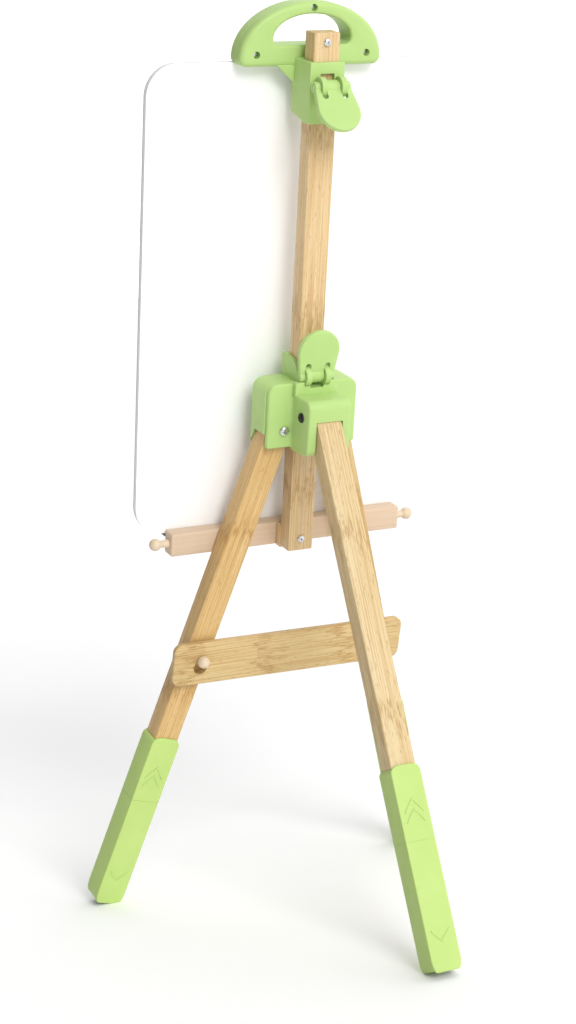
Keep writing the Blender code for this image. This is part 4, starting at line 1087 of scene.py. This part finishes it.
def make_looks():
    """Every look by its name: the record's material slot and a finish."""
    looks = {name: ("bamboo", bamboo(f"bamboo_{name}_finish", *row))
             for name, row in BAMBOO.items()}
    looks["rail"] = ("pale_wood", pale_wood("pale_rail_finish", *RAIL_WOOD))
    looks["peg"] = ("pale_wood", pale_wood("pale_peg_finish", *PEG_WOOD, 'Z'))
    for name, (slot, *row) in PLASTIC.items():
        looks[name] = (slot, moulded(f"{name}_plastic_finish", *row))
    looks["nylon"] = (None, moulded("nylon_finish", *NYLON, 0.5))
    looks["laminate"] = ("white_laminate", laminate())
    looks["edge"] = ("painted_core", board_edge())
    looks["chalk"] = ("chalk_face", chalk_face())
    looks["steel"] = ("plated_steel", steel("zinc_plate_finish", *ZINC))
    looks["black"] = ("plated_steel", steel("black_oxide_finish", *BLACK_OXIDE))
    return looks


# ---- placing
def show(name, mesh, matrix, body, look):
    """Put a finer piece in place of its CAD node, riding on the node's body."""
    slot, finish = look
    piece = linked(f"{name}_piece", mesh)
    piece.matrix_world = matrix
    mesh.name = f"{name}_piece"
    mesh.materials.clear()
    mesh.materials.append(finish)
    mesh.shade_smooth()
    mesh.set_sharp_from_angle(angle=SHARP_TURN)
    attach(piece, body)
    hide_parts(name)


def build_mast(looks):
    half = STICK_WIDTH / 2
    stick = box((-half, -MAST_DEPTH, MAST_LOW), (half, 0, MAST_HIGH), 0.0015)
    show("mast", stick, HUB, "mast", looks["mast"])
    spacer = box((-half, RAIL_BACK + FIT, RAIL_LOW), (half, -MAST_DEPTH - FIT, RAIL_HIGH), 0.001)
    show("rail_spacer", spacer, HUB, "mast", looks["mast"])
    rail = box((-RAIL_HALF, RAIL_FRONT, RAIL_LOW), (RAIL_HALF, RAIL_BACK, RAIL_HIGH), 0.0018)
    show("tray_rail", rail, HUB, "mast", looks["rail"])
    for side, hand in SIDES:
        show(f"rail_peg_{hand}", ball_peg_mesh(side), HUB, "mast", looks["peg"])
    show("board_ledge", ledge_mesh(), HUB, "mast", looks["grey"])
    for name, z in (("mast_stop_screw", STOP_SCREW_Z), ("rail_screw", RAIL_SCREW_Z)):
        screw = screw_mesh(*WOOD_SCREW, (0, 0, z))
        show(name, screw, HUB, "mast", looks["steel"])
    back = BOARD_BACK
    front = BOARD_BACK - BOARD_THICK
    for name, rear, fore, look in (
            ("board_back_sheet", back, back - BOARD_SKIN, "laminate"),
            ("board_core", back - BOARD_SKIN - FIT, front + BOARD_SKIN + FIT, "edge"),
            ("board_writing_sheet", front + BOARD_SKIN, front, "chalk")):
        show(name, board_sheet(rear, fore), HUB, "mast", looks[look])


def build_clip(looks):
    green = looks["green"]
    show("clip_rear_shell", clip_rear_mesh(), HUB, "clip", green)
    show("clip_front_shell", clip_front_mesh(), HUB, "clip", green)
    for name, x, z in CLIP_SCREWS:
        screw = screw_mesh(*CLIP_SCREW, (x, CLIP_BACK - SEAT_DEPTH, z))
        show(f"clip_screw_{name}", screw, HUB, "clip", looks["steel"])
    show("clip_lever", lever_mesh(), CLIP_LEVER, "clip_lever", green)


def build_hub(looks):
    green = looks["green"]
    show("hub_front_shell", hub_front_mesh(), HUB, "hub", green)
    show("hub_rear_cover", hub_rear_mesh(), HUB, "hub", green)
    show("hub_lever", lever_mesh(), HUB_LEVER, "hub_lever", green)
    for side, hand in SIDES:
        spot = (side * COVER_SCREW_X, HUB_FRONT + COVER_SEAT_DEPTH, COVER_SCREW_Z)
        screw = screw_mesh(*COVER_SCREW, spot, -1)
        show(f"hub_cover_screw_{hand}", screw, HUB, "hub", looks["steel"])
        bolt = screw_mesh(*PIVOT_BOLT, (side * PIVOT_X, PIVOT_BOLT_SEAT, PIVOT_Z))
        show(f"leg_pivot_bolt_{hand}", bolt, LEGS, "hub", looks["steel"])
    bolt = screw_mesh(*REAR_BOLT, (0, 0, 0))
    bolt.transform(move(BRACKET_HALF, REAR_PIVOT_Y, REAR_PIVOT_Z) @ turn(-pi / 2, 'Z'))
    show("rear_leg_bolt", bolt, HUB, "hub", looks["black"])


def build_legs(looks):
    for side, hand in SIDES:
        body = f"front_leg_{hand}"
        pose = FRONT_LEG[side]
        show(body, leg_mesh(-LEG_DEPTH, 0, 'Y'), pose, body, looks[hand])
        boot = boot_mesh(-LEG_DEPTH, 0, pose)
        show(f"boot_{hand}", boot, pose, f"boot_{hand}", looks["boot"])
    for name, mesh, side, hand, height in (
            ("brace_knob", knob_mesh(), 1, "left", KNOB_Z),
            ("brace_rest_peg", rest_peg_mesh(), -1, "right", REST_PEG_Z)):
        place = FRONT_LEG[side] @ move(0, 0, -down_leg(height))
        show(name, mesh, place, f"front_leg_{hand}", looks["peg"])
    half = LEG_DEPTH / 2
    show("rear_leg", leg_mesh(-half, half, 'X'), REAR_LEG, "rear_leg", looks["rear"])
    show("boot_rear", boot_mesh(-half, half, REAR_LEG), REAR_LEG, "boot_rear", looks["boot"])
    show("cross_brace", brace_mesh(), LEGS @ move(*leg_crossing(1, KNOB_Z)), "brace",
         looks["brace"])


def dress_plain_nodes(looks):
    """Procedural finishes for the small CAD nodes that keep their own shape."""
    for name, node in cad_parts.items():
        if node.hide_render:
            continue
        _, finish = looks["nylon" if "bush" in name or "washer" in name else "steel"]
        for slot in node.material_slots:
            slot.material = finish


# ---- stage
def build_floor():
    mesh = bpy.data.meshes.new("floor")
    reach = FLOOR_REACH
    mesh.from_pydata([(-reach, -reach, 0), (reach, -reach, 0), (reach, reach, 0),
                      (-reach, reach, 0)], [], [(0, 1, 2, 3)])
    floor = linked("floor", mesh)
    paper = Finish("floor_paper", 0.9)
    tone = paper.mix(paper.noise(6.0, 2.0), (0.97, 0.97, 0.97), (0.95, 0.95, 0.95))
    mesh.materials.append(paper.done(tone))


def build_light():
    """White world, flagged off on the easel's left, and a large soft key from behind."""
    world = bpy.data.worlds.new("studio")
    world.use_nodes = True
    tree = world.node_tree
    ways = tree.nodes.new("ShaderNodeSeparateXYZ")
    tree.links.new(tree.nodes.new("ShaderNodeTexCoord").outputs["Generated"], ways.inputs[0])
    flag = tree.nodes.new("ShaderNodeMapRange")
    flag.interpolation_type = 'SMOOTHSTEP'
    for socket, value in (("From Min", FLAG_START), ("From Max", FLAG_END),
                          ("To Min", WORLD_LIGHT), ("To Max", FLAG_LIGHT)):
        flag.inputs[socket].default_value = value
    tree.links.new(ways.outputs["X"], flag.inputs["Value"])
    background = tree.nodes["Background"]
    background.inputs["Color"].default_value = (1.0, 1.0, 1.0, 1.0)
    tree.links.new(flag.outputs[0], background.inputs["Strength"])
    bpy.context.scene.world = world
    lamp = bpy.data.lights.new("key", 'SUN')
    lamp.energy = KEY_POWER
    lamp.angle = KEY_SPREAD
    key = linked("key", lamp)
    key.location = KEY_FROM
    key.rotation_euler = Vector(KEY_FROM).to_track_quat('Z', 'Y').to_euler()
    bpy.context.scene.view_settings.view_transform = 'Standard'


def build_camera():
    lens = bpy.data.cameras.new("camera")
    lens.lens = LENS
    lens.sensor_width = SENSOR
    lens.shift_x = SHIFT_X
    lens.shift_y = SHIFT_Y
    camera = linked("camera", lens)
    camera.matrix_world = (move(*CAMERA_PLACE) @ turn(CAMERA_PAN, 'Z') @ turn(CAMERA_PITCH, 'X')
                           @ turn(CAMERA_ROLL, 'Z'))
    bpy.context.scene.camera = camera


def main():
    looks = make_looks()
    build_mast(looks)
    build_clip(looks)
    build_hub(looks)
    build_legs(looks)
    dress_plain_nodes(looks)
    build_floor()
    build_light()
    build_camera()


main()
